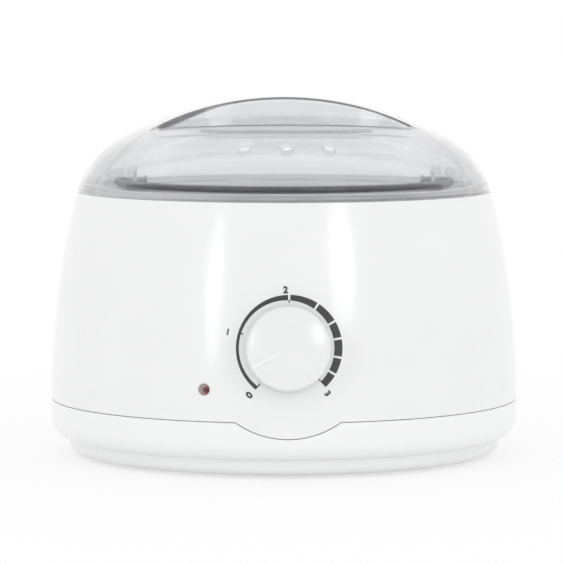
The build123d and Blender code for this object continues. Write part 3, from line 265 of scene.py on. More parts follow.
def turned(name, colour, roughness):
    """Spun or turned metal: fine rings about the Z axis, with a little clouding."""
    finish = Finish(name, colour, roughness, Metallic=1.0)
    x, y, z = finish.coordinates()
    line = finish.node("CombineXYZ", {0: span(x, y), 2: z})
    ring = finish.noise(2600.0, 3.0, 0.6, line)
    cloud = finish.noise(60.0, 3.0)
    shade = finish.mix(ring.ramp(0.3, 0.7), tinted(colour, 0.9), tinted(colour, 1.06))
    finish.set("Base Color", finish.mix(0.24 * cloud, shade, tinted(colour, 0.93)))
    finish.set("Roughness", roughness + 0.14 * ring.ramp(0.35, 0.65) + 0.06 * cloud)
    finish.bump(ring, 0.004 * MM)
    return finish.material


def plated(name, colour, roughness, mottling=0.05):
    """Plated or rolled metal: fine scratches one way, and dulled patches."""
    finish = Finish(name, colour, roughness, Metallic=1.0)
    scratch = finish.noise(900.0, 3.0, 0.6, finish.stretched((0.12, 1.0, 1.0)))
    patch = finish.noise(220.0, 3.0)
    bright, dull = tinted(colour, 1.0 + mottling), tinted(colour, 1.0 - 2 * mottling)
    finish.set("Base Color", finish.mix(patch.ramp(0.35, 0.7), bright, dull))
    finish.set("Roughness", roughness + 0.12 * patch.ramp(0.4, 0.7) + 0.08 * scratch)
    finish.bump(scratch, 0.003 * MM)
    return finish.material


def rubbery(name, colour, roughness=0.62):
    """Moulded rubber or silicone: fine grain, and a little lighter where it wears."""
    finish = Finish(name, colour, roughness, IOR=1.45)
    grain = finish.noise(2600.0, 2.0)
    wear = finish.noise(240.0, 3.0)
    finish.set("Base Color", finish.mix(wear.ramp(0.4, 0.75), colour, tinted(colour, 1.18)))
    finish.set("Roughness", roughness + 0.12 * wear)
    finish.bump(grain, 0.02 * MM)
    return finish.material


# Meshes


def face_grid(rows, columns, closed=False):
    """Quads of a grid whose vertex at row i and column j is number i * columns + j.

    In a closed grid the last column is joined to the first.
    """
    index = np.arange(rows * columns).reshape(rows, columns)
    if closed:
        index = np.hstack([index, index[:, :1]])
    corners = [index[:-1, :-1], index[:-1, 1:], index[1:, 1:], index[1:, :-1]]
    return np.stack(corners, axis=-1).reshape(-1, 4)


def directions(angle):
    """Unit vectors in plan at those angles."""
    return np.stack([np.cos(angle), np.sin(angle)], axis=-1)


def all_round(count):
    """That many unit vectors in plan, evenly round the axis."""
    return directions(np.linspace(0, FULL_TURN, count, endpoint=False))


def at_height(plan, height):
    """Points over places of the plan, all at one height or each at its own."""
    return np.concatenate([plan, np.broadcast_to(height, len(plan))[:, None]], axis=-1)


def mesh_of(name, verts, faces):
    """A mesh from vertices and arrays of faces."""
    mesh = bpy.data.meshes.new(name)
    mesh.from_pydata(verts.tolist(), [], [face for group in faces for face in group.tolist()])
    mesh.validate()
    return mesh


def smoothed(mesh, sharp):
    """Shades a mesh smooth, but for edges that turn by more than that many degrees."""
    mesh.shade_smooth()
    mesh.set_sharp_from_angle(angle=math.radians(sharp))


def linked(name, data):
    """A new object of the scene that holds the data."""
    made = bpy.data.objects.new(name, data)
    bpy.context.scene.collection.objects.link(made)
    return made


def give(material, *names):
    """Puts a material on CAD nodes."""
    for name in names:
        data = NODES[name].data
        data.materials.clear()
        data.materials.append(material)


# Dial: places on the curved wall


def wall_bend(body):
    """Radius of the arc on which the wall of the upper housing leans in, from the seam to the rim."""
    drop = BODY_RADIUS - LID_RADIUS
    rise = RIM_Z - body.seam_height
    return (rise**2 + drop**2) / (2 * drop)


def side_radius(body, height):
    """Outside radius of the upper housing at that height."""
    bend = wall_bend(body)
    above = np.maximum(height - body.seam_height, 0.0)
    return BODY_RADIUS - bend + np.sqrt(bend**2 - above**2)


def dial_frame(body):
    """Centre of the dial on the wall, and its right, up and outward directions."""
    lean = math.asin((body.dial_height - body.seam_height) / wall_bend(body))
    centre = np.array([0.0, -float(side_radius(body, body.dial_height)), body.dial_height])
    right = np.array([1.0, 0.0, 0.0])
    up = np.array([0.0, math.sin(lean), math.cos(lean)])
    outward = np.array([0.0, -math.cos(lean), math.sin(lean)])
    return centre, right, up, outward


WALL_STEPS = 6
INK_ABOVE = 0.05 * MM
INK_BELOW = -0.03 * MM
INK_SHARP = 60.0  # degrees


def on_wall(body, across, along, lift):
    """Points on the wall straight behind places of the dial's plane, raised by lift along the wall's normal.

    The depth behind the plane is found by stepping: each step moves a point to where the wall's radius at
    its height puts it.
    """
    centre, right, up, outward = dial_frame(body)
    depth = np.zeros_like(across)
    for _ in range(WALL_STEPS):
        height = centre[2] + along * up[2] + depth * outward[2]
        wall_y = -np.sqrt(side_radius(body, height) ** 2 - across**2)
        depth = (wall_y - centre[1] - along * up[1]) / outward[1]
    points = centre + across[..., None] * right + along[..., None] * up + depth[..., None] * outward
    lean = math.asin(outward[2])
    flat = points[..., :2] / np.linalg.norm(points[..., :2], axis=-1, keepdims=True)
    slope = lean * (points[..., 2:] - body.seam_height) / (body.dial_height - body.seam_height)
    normal = np.concatenate([flat * np.cos(slope), np.sin(slope)], axis=-1)
    return points + normal * np.asarray(lift)[..., None]


def print_patch(name, body, across, along, material, lift=INK_ABOVE):
    """A thin closed slab of ink over a grid of places on the dial: rows outwards, columns clockwise."""
    verts = np.concatenate([on_wall(body, across, along, z).reshape(-1, 3) for z in (lift, INK_BELOW)])
    upper = face_grid(*across.shape)
    lower = upper[:, ::-1] + across.size
    index = np.arange(across.size).reshape(across.shape)
    border = np.concatenate([index[0], index[1:, -1], index[-1, -2::-1], index[-2:0:-1, 0]])
    after = np.roll(border, -1)
    sides = np.stack([after, after + across.size, border + across.size, border], axis=-1)
    mesh = mesh_of(name, verts, [upper, lower, sides])
    smoothed(mesh, INK_SHARP)
    mesh.materials.append(material)
    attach(linked(name, mesh), "housing")


# Dial print. Its angles are in degrees clockwise from the top
SCALE_CENTRE = (0.4 * MM, 0.1 * MM)
SCALE_START = 219.0
SCALE_ON = 287.0
SCALE_TOP = 360.0
SCALE_END = 497.0
SCALE_GAPS = [SCALE_TOP, 393.3, 419.4, 439.2, 460.6, 480.0]
GAP_HALF = 1.3
ARC_STEP = 2.0  # about one column of points to so many degrees
SCALE_ROWS = 5
MARK_WIDTH = 0.42 * MM
MARK_BITE = 0.25 * MM  # how far a mark runs into the scale
MARKS = {  # angle, and how far it reaches in from the scale's inner edge
    "mark_start": (SCALE_START + 0.6, 1.5 * MM),
    "mark_on": (SCALE_ON, 1.0 * MM),
    "mark_top": (SCALE_TOP, 0.9 * MM),
    "mark_end": (SCALE_END - 0.6, 1.5 * MM),
}
CRESCENT_START = SCALE_START + 1.5
CRESCENT_END = SCALE_TOP + 44.0
CRESCENT_INNER = 15.6 * MM  # just inside the knob's edge
CRESCENT_GAP = 0.55 * MM  # between the crescent and the scale
CRESCENT_TAPER = 60.0  # over these last degrees it thins
CRESCENT_THIN = 0.35  # share of its width at its end
CRESCENT_LIFT = 0.03 * MM
CRESCENT_GRID = (4, 80)  # rows and columns of points
GREY_INK = 2.6  # how much lighter the grey number is than the ink
NUMBER_DEPTH = 0.01 * MM
NUMBER_BOLD = 0.17 * MM
NUMBERS = {  # across, along, turn in degrees, and size
    "0": (-14.9 * MM, -18.0 * MM, 45.0, 1.1),
    "1": (-23.2 * MM, 6.3 * MM, -10.0, 0.95),
    "2": (-1.0 * MM, 22.4 * MM, 0.0, 1.05),
    "3": (15.1 * MM, -17.4 * MM, -50.0, 0.95),
}


def edge_radius(dial, angle):
    """Radius, about the scale's centre, of the scale's inner edge: a circle set off to the left."""
    turn = np.radians(angle)
    offset = -dial.inner_shift * np.sin(turn)
    return offset + np.sqrt(dial.inner_radius**2 - dial.inner_shift**2 + offset**2)


def ring_patch(name, body, angle, inner, outer, rows, ink, lift=INK_ABOVE):
    """Ink between two radii, each of them one number or one for each angle."""
    share = np.linspace(0.0, 1.0, rows)[:, None]
    radius = inner * (1 - share) + outer * share
    turn = np.radians(angle)
    across = SCALE_CENTRE[0] + radius * np.sin(turn)
    along = SCALE_CENTRE[1] + radius * np.cos(turn)
    print_patch(name, body, across, along, ink, lift)


class WARMER_OT_print_dial(bpy.types.Operator):
    """Prints the scale, its marks and its numbers on the wall round the knob, and paints the knob's shade
    there as a pale crescent
    """

    bl_idname = "warmer.print_dial"
    bl_label = "Print dial"

    def execute(self, context):
        body, dial = context.scene.warmer_body, context.scene.warmer_dial
        ink = self.ink_finish("dial_ink", dial.ink)
        grey = self.ink_finish("dial_grey_ink", tinted(dial.ink, GREY_INK))
        # painted shade of the knob, given the finish of the ink
        pale = self.ink_finish("dial_painted_knob_shade", dial.crescent)
        starts = [SCALE_START, *(gap + GAP_HALF for gap in SCALE_GAPS)]
        ends = [*(gap - GAP_HALF for gap in SCALE_GAPS), SCALE_END]
        for k, (start, end) in enumerate(zip(starts, ends), 1):
            angle = np.linspace(start, end, int((end - start) / ARC_STEP))
            inner = edge_radius(dial, angle)
            ring_patch(f"scale_{k}", body, angle, inner, dial.scale_radius, SCALE_ROWS, ink)
        self.marks(body, dial, ink)
        self.crescent(body, dial, pale)
        for text, place in NUMBERS.items():
            self.number(text, body, dial, place, grey if text == "1" else ink)
        return {"FINISHED"}

    def ink_finish(self, name, colour):
        """Pad-printed ink: slightly uneven in cover, duller than the plastic."""
        finish = Finish(name, colour, 0.42, IOR=1.48)
        speckle = finish.noise(4200.0, 2.0)
        finish.set("Base Color", finish.mix(speckle.ramp(0.42, 0.75), colour, tinted(colour, 1.3)))
        finish.set("Roughness", 0.36 + 0.2 * speckle)
        finish.bump(speckle, 0.004 * MM)
        return finish.material

    def marks(self, body, dial, ink):
        """Short strokes across the scale's inner edge."""
        side = np.linspace(-MARK_WIDTH / 2, MARK_WIDTH / 2, 3)
        for name, (angle, reach) in MARKS.items():
            edge, turn = edge_radius(dial, angle), math.radians(angle)
            radial = np.linspace(edge - reach, edge + MARK_BITE, 4)[:, None]
            across = SCALE_CENTRE[0] + radial * math.sin(turn) + side * math.cos(turn)
            along = SCALE_CENTRE[1] + radial * math.cos(turn) - side * math.sin(turn)
            print_patch(name, body, across, along, ink)

    def crescent(self, body, dial, pale):
        """Painted shade of the knob on the wall: between the scale's inner edge, less a thin gap, and a
        circle just inside the knob's edge.
        """
        rows, columns = CRESCENT_GRID
        angle = np.linspace(CRESCENT_START, CRESCENT_END, columns)
        fade = np.clip((CRESCENT_END - angle) / CRESCENT_TAPER, 0.0, 1.0)
        width = edge_radius(dial, angle) - CRESCENT_GAP - CRESCENT_INNER
        outer = CRESCENT_INNER + width * (CRESCENT_THIN + (1 - CRESCENT_THIN) * fade)
        ring_patch("scale_painted_knob_shade", body, angle, CRESCENT_INNER, outer, rows, pale, CRESCENT_LIFT)

    def number(self, text, body, dial, place, ink):
        """A numeral cut from Blender's own font, laid on the wall."""
        across, along, turn, size = place
        curve = bpy.data.curves.new("numeral", "FONT")
        curve.body = text
        curve.size = dial.number_size * size
        curve.align_x = curve.align_y = "CENTER"
        curve.extrude = NUMBER_DEPTH
        curve.offset = NUMBER_BOLD
        maker = linked("numeral", curve)
        bpy.context.view_layer.update()
        mesh = bpy.data.meshes.new_from_object(maker)
        bpy.data.objects.remove(maker)
        flat = np.empty(len(mesh.vertices) * 3)
        mesh.vertices.foreach_get("co", flat)
        x, y, z = flat.reshape(-1, 3).T
        a = math.radians(turn)
        u = across + x * math.cos(a) - y * math.sin(a)
        v = along + x * math.sin(a) + y * math.cos(a)
        placed = on_wall(body, u, v, np.where(z > 0, INK_ABOVE, INK_BELOW))
        mesh.vertices.foreach_set("co", placed.ravel())
        mesh.update()
        mesh.materials.append(ink)
        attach(linked(f"number_{text}", mesh), "housing")


LOWER_PAINTED_LIGHT = 1.04  # of the upper housing's white: painted light that makes up for the shade near the floor


class WARMER_OT_dress_housings(bpy.types.Operator):
    """Gives the two housings their white moulded plastic, the lower one with painted light"""

    bl_idname = "warmer.dress_housings"
    bl_label = "Dress housings"

    def execute(self, context):
        body = context.scene.warmer_body
        # painted light: the lower housing's white is made lighter than the upper's
        lower = tinted(body.white, LOWER_PAINTED_LIGHT)
        upper_white = moulded("upper_housing_white", body.white, 0.16, body.peel, coat=0.3)
        give(upper_white, "upper_housing", "top_deck")
        give(moulded("lower_housing_white", lower, 0.2, body.peel, coat=0.2), "lower_housing")
        return {"FINISHED"}


# Lid


class LidForm:
    """The lid's surfaces, all from the crown's arc, the shoulder's arc and the outline of a finger pocket."""

    def __init__(self, lid):
        self.wall = lid.wall
        self.crown = lid.crown_radius
        self.crown_z = LID_TOP - self.crown
        turn = math.asin(lid.shoulder_start / self.crown)
        start = np.array([lid.shoulder_start, self.crown_z + self.crown * math.cos(turn)])
        chord = np.array([LID_RADIUS, LID_LOW]) - start
        inward = np.array([-math.sin(turn), -math.cos(turn)])
        self.turn = turn
        self.shoulder = float(chord @ chord / (2 * chord @ inward))
        self.shoulder_centre = start + self.shoulder * inward
        self.floor = RIM_Z + lid.pocket_floor

    def height(self, radius, inset):
        """Height of the dome at that distance from the axis, on the surface moved in by inset."""
        crown, shoulder = self.crown - inset, self.shoulder - inset
        join = crown * math.sin(self.turn)
        on_crown = self.crown_z + np.sqrt(np.maximum(crown**2 - radius**2, 0))
        away = np.minimum(radius - self.shoulder_centre[0], shoulder)
        on_shoulder = self.shoulder_centre[1] + np.sqrt(np.maximum(shoulder**2 - away**2, 0))
        return np.where(radius <= join, on_crown, on_shoulder)

    def normal(self, plan):
        """Outward direction of the crown over those places of the plan."""
        flat = plan / self.crown
        return at_height(flat, np.sqrt(1 - (flat**2).sum(axis=-1)))

    def rim_radius(self, inset):
        """Distance from the axis at which the surface moved in by inset reaches the lid's edge."""
        rise = LID_LOW - self.shoulder_centre[1]
        return self.shoulder_centre[0] + math.sqrt((self.shoulder - inset) ** 2 - rise**2)

    def over(self, plan, inset):
        """Points of the dome over those places of the plan."""
        return at_height(plan, self.height(np.linalg.norm(plan, axis=-1), inset))


# Finger pockets and vents
POCKET_SIDE = 8.0 * MM  # half the grip's width in its middle
POCKET_HOLLOW = 100.0 * MM  # the grip's sides are hollowed on this radius
POCKET_FAR = 50.6 * MM  # from the axis to the far wall
POCKET_ARC = 64.0 * MM  # radius of the far wall
POCKET_CORNER = 4.0 * MM
FLOOR_ROUND = 0.7 * MM
RIM_ROUND = 0.4 * MM
VENT_RING = 67.3 * MM  # from the axis to the vents
VENT_PITCH = 14.1  # degrees
VENT_WIDTH = 5.2 * MM
VENT_LENGTH = 5.8 * MM

# The lid's mesh
LID_TURNS = 168
LID_RINGS = 34
RING_REACH = 0.98  # of the quarter turn that spaces the rings
RING_CROWD = 0.9
LONG_ARC_POINTS = 44
CORNER_POINTS = 16
VENT_POINTS = 12
ROUND_POINTS = 7
POCKET_CLEAR = 0.9 * MM  # no ring comes nearer to a pocket
VENT_CLEAR = 0.7 * MM
UNDER_DOME = 0.01 * MM  # the inside of a pocket stays this far below the dome's inside
LID_SHARP = 28.0  # degrees

# The lid's plastic and the shade painted on it. In a pair, the first distance is where a shade is full and
# the second where it has gone
EDGE_SHADE_BAND = (0.6 * MM, 1.2 * MM)  # from the pockets' edges, where shade is painted dark
# painted shade along the pockets' edges
PAINTED_EDGE_SHADE = (0.05, 0.05, 0.055)
FOOT_ENDS = (33.0 * MM, 40.0 * MM)  # from the middle, along the foot of a pocket's far wall
WIDE_SHADE_FROM = (-42.0 * MM, -14.0 * MM)  # across, where the painted dark edge at the grip's left end narrows
WIDE_SHADE_END = (-58.0 * MM, -53.0 * MM)
WIDE_SHADE_SHARE = 0.35
FAR_OFF = 5.0 * MM  # added to a distance where its edge doesn't show
WALL_SHADE_BAND = (0.6 * MM, 2.4 * MM)  # from the grip's sides, over which their painted shade fades
PAINTED_WALL_SHADE = 0.5
SIDE_SHADE_BAND = (50.0 * MM, 80.0 * MM)  # from the middle, where the dome turns away: painted shade for the smoke that shows more there
PAINTED_SIDE_SHADE = 0.72
REAR_EDGE = (0.0, 1.0 * MM)  # across the middle, behind which the pockets' edges get no painted shade
REAR_FOOT = (20.0 * MM, 50.0 * MM)  # behind the middle, where the foot's painted shade fades out
FOOT_SHADE_BAND = (3.5 * MM, 6.0 * MM)  # above the lid's edge, the band of painted shade
# painted shade in streaks along the lid's foot
PAINTED_FOOT_SHADES = ((0.45, 0.45, 0.46), (0.86, 0.86, 0.87))
FOOT_SHADE_STREAKS = (9.0, 9.0, 800.0)  # cells per metre: long round the lid and thin in height
CLEAR_COVER = 0.5
FOOT_SHADE_COVER = 0.7


def arc_points(centre, radius, start, end, count):
    """Points on a circle from one angle to another, with their outward directions."""
    outward = directions(np.linspace(start, end, count))
    return np.asarray(centre) + radius * outward, outward


def pocket_outline(side):
    """The edge of a finger pocket in plan, with the directions out of it.

    From the middle of the grip's side: the hollow arc of that side, a corner round and the far arc, then the
    same mirrored. The corner's circle touches the other two circles from inside.
    """
    hollow = np.array([0.0, POCKET_SIDE + POCKET_HOLLOW])
    far = np.array([0.0, POCKET_FAR - POCKET_ARC])
    reach_hollow, reach_far = POCKET_HOLLOW - POCKET_CORNER, POCKET_ARC - POCKET_CORNER
    apart = hollow[1] - far[1]
    rise = (reach_far**2 - reach_hollow**2 + apart**2) / (2 * apart)
    corner = far + np.array([math.sqrt(reach_far**2 - rise**2), rise])
    turn_in = math.atan2(*(corner - hollow)[::-1])
    turn_out = math.atan2(*(corner - far)[::-1])
    arcs = zip(
        arc_points(hollow, POCKET_HOLLOW, -math.pi / 2, turn_in, LONG_ARC_POINTS),
        arc_points(corner, POCKET_CORNER, turn_in, turn_out, CORNER_POINTS),
        arc_points(far, POCKET_ARC, turn_out, math.pi / 2, LONG_ARC_POINTS),
    )
    halves = [np.concatenate([grip[:-1], bend[:-1], wall]) for grip, bend, wall in arcs]
    return [np.concatenate([half, half[-2:0:-1] * (-1, 1)]) * (1, side) for half in halves]


def vent_outline(step):
    """The edge of a vent in plan: a slot that points at the axis, with the directions out of it."""
    radius = VENT_WIDTH / 2
    half = VENT_LENGTH / 2 - radius
    right, right_out = arc_points((half, 0), radius, -math.pi / 2, math.pi / 2, VENT_POINTS)
    left, left_out = arc_points((-half, 0), radius, math.pi / 2, 1.5 * math.pi, VENT_POINTS)
    points = np.concatenate([right, left]) + (VENT_RING, 0.0)
    outward = np.concatenate([right_out, left_out])
    a = math.radians(270.0 + step * VENT_PITCH)
    turn = np.array([[math.cos(a), math.sin(a)], [-math.sin(a), math.cos(a)]])
    return points @ turn, outward @ turn


def rolled(centre, start, end, radius):
    """Rings on a round edge: about each centre, from direction start to direction end, in equal turns."""
    cosine = np.clip(np.einsum("ij,ij->i", start, end), -1, 1)
    turn = np.arccos(cosine)[:, None]
    rings = []
    for share in np.linspace(0.0, 1.0, ROUND_POINTS):
        blend = (np.sin((1 - share) * turn) * start + np.sin(share * turn) * end) / np.sin(turn)
        rings.append(centre + radius * blend)
    return rings


def inside(outline, places):
    """Which places lie inside an outline, by counting its edges that pass to their right."""
    a, b = outline, np.roll(outline, -1, axis=0)
    x, y = places[:, 0:1], places[:, 1:2]
    crosses = (a[:, 1] > y) != (b[:, 1] > y)
    rise = b[:, 1] - a[:, 1]
    rise = np.where(rise == 0, 1.0, rise)  # a level edge passes nothing
    meet = a[:, 0] + (y - a[:, 1]) * (b[:, 0] - a[:, 0]) / rise
    return (crosses & (x < meet)).sum(axis=1) % 2 == 1


class MeshStock:
    """Collects vertices and faces of one piece from several stretches of surface."""

    def __init__(self):
        self.verts = []
        self.quads = []
        self.triangles = []

    def add(self, points):
        """Keeps some points and returns their numbers."""
        first = sum(map(len, self.verts))
        self.verts.append(points)
        return np.arange(first, first + len(points))

    def band(self, first, second):
        """Quads between two closed rings of vertex numbers."""
        self.quads.append(np.stack([first, np.roll(first, -1), np.roll(second, -1), second], axis=-1))

    def bands(self, rings):
        for first, second in zip(rings, rings[1:]):
            self.band(first, second)

    def plan(self, loops, numbers, spread=np.zeros((0, 3)), holes=()):
        """Triangles that join loops of the plan, whose numbers are given, and spread points between them."""
        borders = []
        first = 0
        for loop in loops:
            n = np.arange(first, first + len(loop))
            borders += np.stack([n, np.roll(n, -1)], axis=-1).tolist()
            first += len(loop)
        all_numbers = np.concatenate([*numbers, self.add(spread)])
        places = np.concatenate([*loops, spread[:, :2]])
        scaled = [Vector(p) for p in (places * 1000.0).tolist()]
        made, sources = delaunay_2d_cdt(scaled, borders, [], 0, 1e-7)[2:4]
        origin = np.array([source[0] for source in sources])
        triangles = origin[np.array(made)]
        for hole in holes:
            triangles = triangles[~inside(hole, places[triangles].mean(axis=1))]
        self.triangles.append(all_numbers[triangles])

    def mesh(self, name):
        return mesh_of(name, np.concatenate(self.verts), self.quads + self.triangles)


def pocket_rings(form, points, out, inset):
    """Rings of a pocket from its floor up to the dome: its outside, or its inside if moved in by inset."""
    out3 = at_height(out, 0.0)
    down = np.tile([0.0, 0.0, -1.0], (len(out), 1))
    moved = points + out * inset
    foot = FLOOR_ROUND + inset / 2
    rings = rolled(at_height(moved - out * foot, form.floor - inset + foot), down, out3, foot)
    if inset == 0:
        edge = points + out * RIM_ROUND
        return rings + rolled(form.over(edge, RIM_ROUND), -out3, form.normal(edge), RIM_ROUND)
    for ring in rings:
        ring[:, 2] = np.minimum(ring[:, 2], form.over(ring[:, :2], inset)[:, 2] - UNDER_DOME)
    return rings + [form.over(moved, inset)]


def lid_sheet(stock, form, pockets, vents, inset):
    """The dome with its pockets, on the surface moved in by inset. Returns its open rings' numbers."""
    around = all_round(LID_TURNS)
    rim = around * form.rim_radius(inset)
    loops, numbers = [rim], [stock.add(at_height(rim, LID_LOW))]
    steps = np.linspace(0, 1.0, LID_RINGS)[1:-1]
    reach = form.rim_radius(inset) * np.sin(steps * math.pi / 2 * RING_REACH) ** RING_CROWD
    places = (reach[:, None, None] * around).reshape(-1, 2)
    for points, out in pockets:
        rings = pocket_rings(form, points, out, inset)
        kept = [stock.add(ring) for ring in rings]
        stock.bands(kept)
        stock.plan([rings[0][:, :2]], [kept[0]])
        loops.append(rings[-1][:, :2])
        numbers.append(kept[-1])
        places = places[~inside(points + out * (RIM_ROUND + inset + POCKET_CLEAR), places)]
    for points, out in vents:
        loops.append(points)
        numbers.append(stock.add(form.over(points, inset)))
        places = places[~inside(points + out * VENT_CLEAR, places)]
    stock.plan(loops, numbers, form.over(places, inset), loops[1:])
    return numbers


def lid_mesh(lid):
    """The whole lid as one closed mesh: two sheets, joined at the lid's edge and in the vents."""
    form = LidForm(lid)
    stock = MeshStock()
    pockets = [pocket_outline(side) for side in (-1, 1)]
    vents = [vent_outline(step) for step in (-1, 0, 1)]
    outer = lid_sheet(stock, form, pockets, vents, 0.0)
    inner = lid_sheet(stock, form, pockets, vents, form.wall)
    stock.band(inner[0], outer[0])
    for k in range(1 + len(pockets), len(outer)):
        stock.band(outer[k], inner[k])
    return stock.mesh("clear_lid")


class WARMER_OT_dress_lid(bpy.types.Operator):
    """Makes the smoked clear lid, with its grip between two finger pockets"""

    bl_idname = "warmer.dress_lid"
    bl_label = "Dress lid"

    def execute(self, context):
        lid = context.scene.warmer_lid
        mesh = lid_mesh(lid)
        set_outwards(mesh)
        smoothed(mesh, LID_SHARP)
        mesh.materials.append(self.smoked(lid))
        made = linked("clear_lid", mesh)
        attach(made, "lid")
        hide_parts("lid")
        return {"FINISHED"}

    def smoked(self, lid):
        """Clear smoked plastic with a faint flow pattern, and painted shade: darker and less clear along the
        pockets' edges and along its foot in front, in streaks there, and darker on the grip's sides and
        towards the dome's sides.
        """
        tint = lid.smoke
        constants = {"IOR": 1.08, "Transmission_Weight": 1.0, "Coat_Weight": 1.0, "Coat_Roughness": 0.05}
        finish = Finish("smoked_clear", tint, 0.05, **constants)
        x, y, z = finish.coordinates()
        flow = finish.noise(28.0, 3.0)
        clear = finish.mix(flow.ramp(0.35, 0.65), tinted(tint, 0.985), tinted(tint, 1.015))
        # painted shade: darker towards the dome's sides
        clear = finish.mix(span(x).ramp(*SIDE_SHADE_BAND), clear, tinted(tint, PAINTED_SIDE_SHADE))
        grip, away = self.from_edges(LidForm(lid), x, y, z)
        # painted shade on the grip's sides
        wall_shaded = finish.mix(grip.ramp(*WALL_SHADE_BAND), tinted(tint, PAINTED_WALL_SHADE), clear)
        # painted shade along the pockets' edges
        edges = finish.mix(away.ramp(*EDGE_SHADE_BAND), PAINTED_EDGE_SHADE, wall_shaded)
        # painted shade in streaks along the foot, at the front only
        shade_streak = finish.noise(1.0, 3.0, 0.6, finish.stretched(FOOT_SHADE_STREAKS))
        foot = finish.mix(shade_streak.ramp(0.4, 0.6), *PAINTED_FOOT_SHADES)
        height = z - LID_LOW + y.ramp(*REAR_FOOT, 0.0, FAR_OFF)
        finish.set("Base Color", finish.mix(height.ramp(*FOOT_SHADE_BAND), foot, edges))
        # where shade is painted, the lid is also less clear
        cover = away.ramp(*EDGE_SHADE_BAND, 1.0, CLEAR_COVER)
        finish.set("Alpha", cover.at_least(height.ramp(*FOOT_SHADE_BAND, FOOT_SHADE_COVER, CLEAR_COVER)))
        finish.set("Roughness", 0.03 + 0.05 * flow)
        finish.bump(finish.noise(70.0, 1.0), 0.015 * MM)
        return finish.material

    def from_edges(self, form, x, y, z):
        """Distances from the grip's sides in plan, and from the pockets' edges that are painted dark.

        Inside a pocket the distances from both its circles are negative, so the greater one is that of the
        outline. The edges painted dark are the outline on the dome, the foot of the far wall, and the grip's
        own edge at its left end, where the painted edge is widest and a distance counts for less.
        """
        aside = span(y)
        hollow = span(x, aside - (POCKET_SIDE + POCKET_HOLLOW)) - POCKET_HOLLOW
        far = span(x, aside + (POCKET_ARC - POCKET_FAR)) - POCKET_ARC
        down = (form.crown**2 - (x * x + y * y)).root() + form.crown_z - z
        rim = span(hollow.at_least(far), down)
        foot = span(far, z - form.floor) + span(x).ramp(*FOOT_ENDS, 0.0, FAR_OFF)
        wide_shade = span(hollow, down) * x.ramp(*WIDE_SHADE_FROM, WIDE_SHADE_SHARE, 1.0)
        wide_shade += x.ramp(*WIDE_SHADE_END, FAR_OFF, 0.0) + x.ramp(WIDE_SHADE_FROM[1], 0.0, 0.0, FAR_OFF)
        # behind the middle the distances grow, so no edge is painted dark there
        behind = y.ramp(*REAR_EDGE, 0.0, FAR_OFF)
        return span(hollow) + behind, rim.at_most(foot).at_most(wide_shade) + behind


def set_outwards(mesh):
    """Merges a mesh's doubles and turns its faces outwards."""
    work = bmesh.new()
    work.from_mesh(mesh)
    bmesh.ops.remove_doubles(work, verts=work.verts, dist=WELD)
    bmesh.ops.recalc_face_normals(work, faces=work.faces)
    work.to_mesh(mesh)
    work.free()


# Knob


POINTER_ANGLE = 207.0  # degrees from the dial's right, anticlockwise as seen from the front
POINTER_HALF = 0.75 * MM
POINTER_START = 4.1 * MM
KNOB_SHADE = 0.955  # of the housings' white
POINTER_PAINTED_HIGHLIGHT = 1.06  # of the knob's: a painted highlight on the raised pointer


class WARMER_OT_dress_knob(bpy.types.Operator):
    """Gives the knob its white plastic with a painted highlight on the pointer, and its spindle its steel"""

    bl_idname = "warmer.dress_knob"
    bl_label = "Dress knob"

    def execute(self, context):
        body = context.scene.warmer_body
        white = tinted(body.white, KNOB_SHADE)
        finish = Finish("knob_white", white, 0.2, IOR=1.5, Coat_Weight=0.3, Coat_Roughness=0.04)
        dust = finish.noise(900.0, 2.0)
        # painted highlight: the pointer is lighter than the knob's face
        pointer = tinted(white, POINTER_PAINTED_HIGHLIGHT)
        finish.set("Base Color", finish.mix(self.on_pointer(finish, body), white, pointer))
        finish.set("Roughness", 0.18 + 0.04 * dust.ramp(0.45, 0.7))
        finish.bump(finish.noise(160.0, 1.0), body.peel)
        give(finish.material, "knob")
        give(plated("spindle_steel", (0.6, 0.6, 0.61), 0.3), "thermostat_spindle")
        return {"FINISHED"}

    def on_pointer(self, finish, body):
        """1 on the raised pointer and 0 elsewhere, from its two directions in the plane of the dial."""
        centre, right, up, outward = dial_frame(body)
        turn = math.radians(POINTER_ANGLE)
        forward = right * math.cos(turn) + up * math.sin(turn)
        sideways = up * math.cos(turn) - right * math.sin(turn)
        place = finish.coordinates(centre)
        along = sum(float(part) * value for part, value in zip(forward, place))
        aside = sum(float(part) * value for part, value in zip(sideways, place))
        narrow = span(aside).ramp(POINTER_HALF, 1.3 * POINTER_HALF, 1.0, 0.0)
        return narrow * along.ramp(0.9 * POINTER_START, POINTER_START)


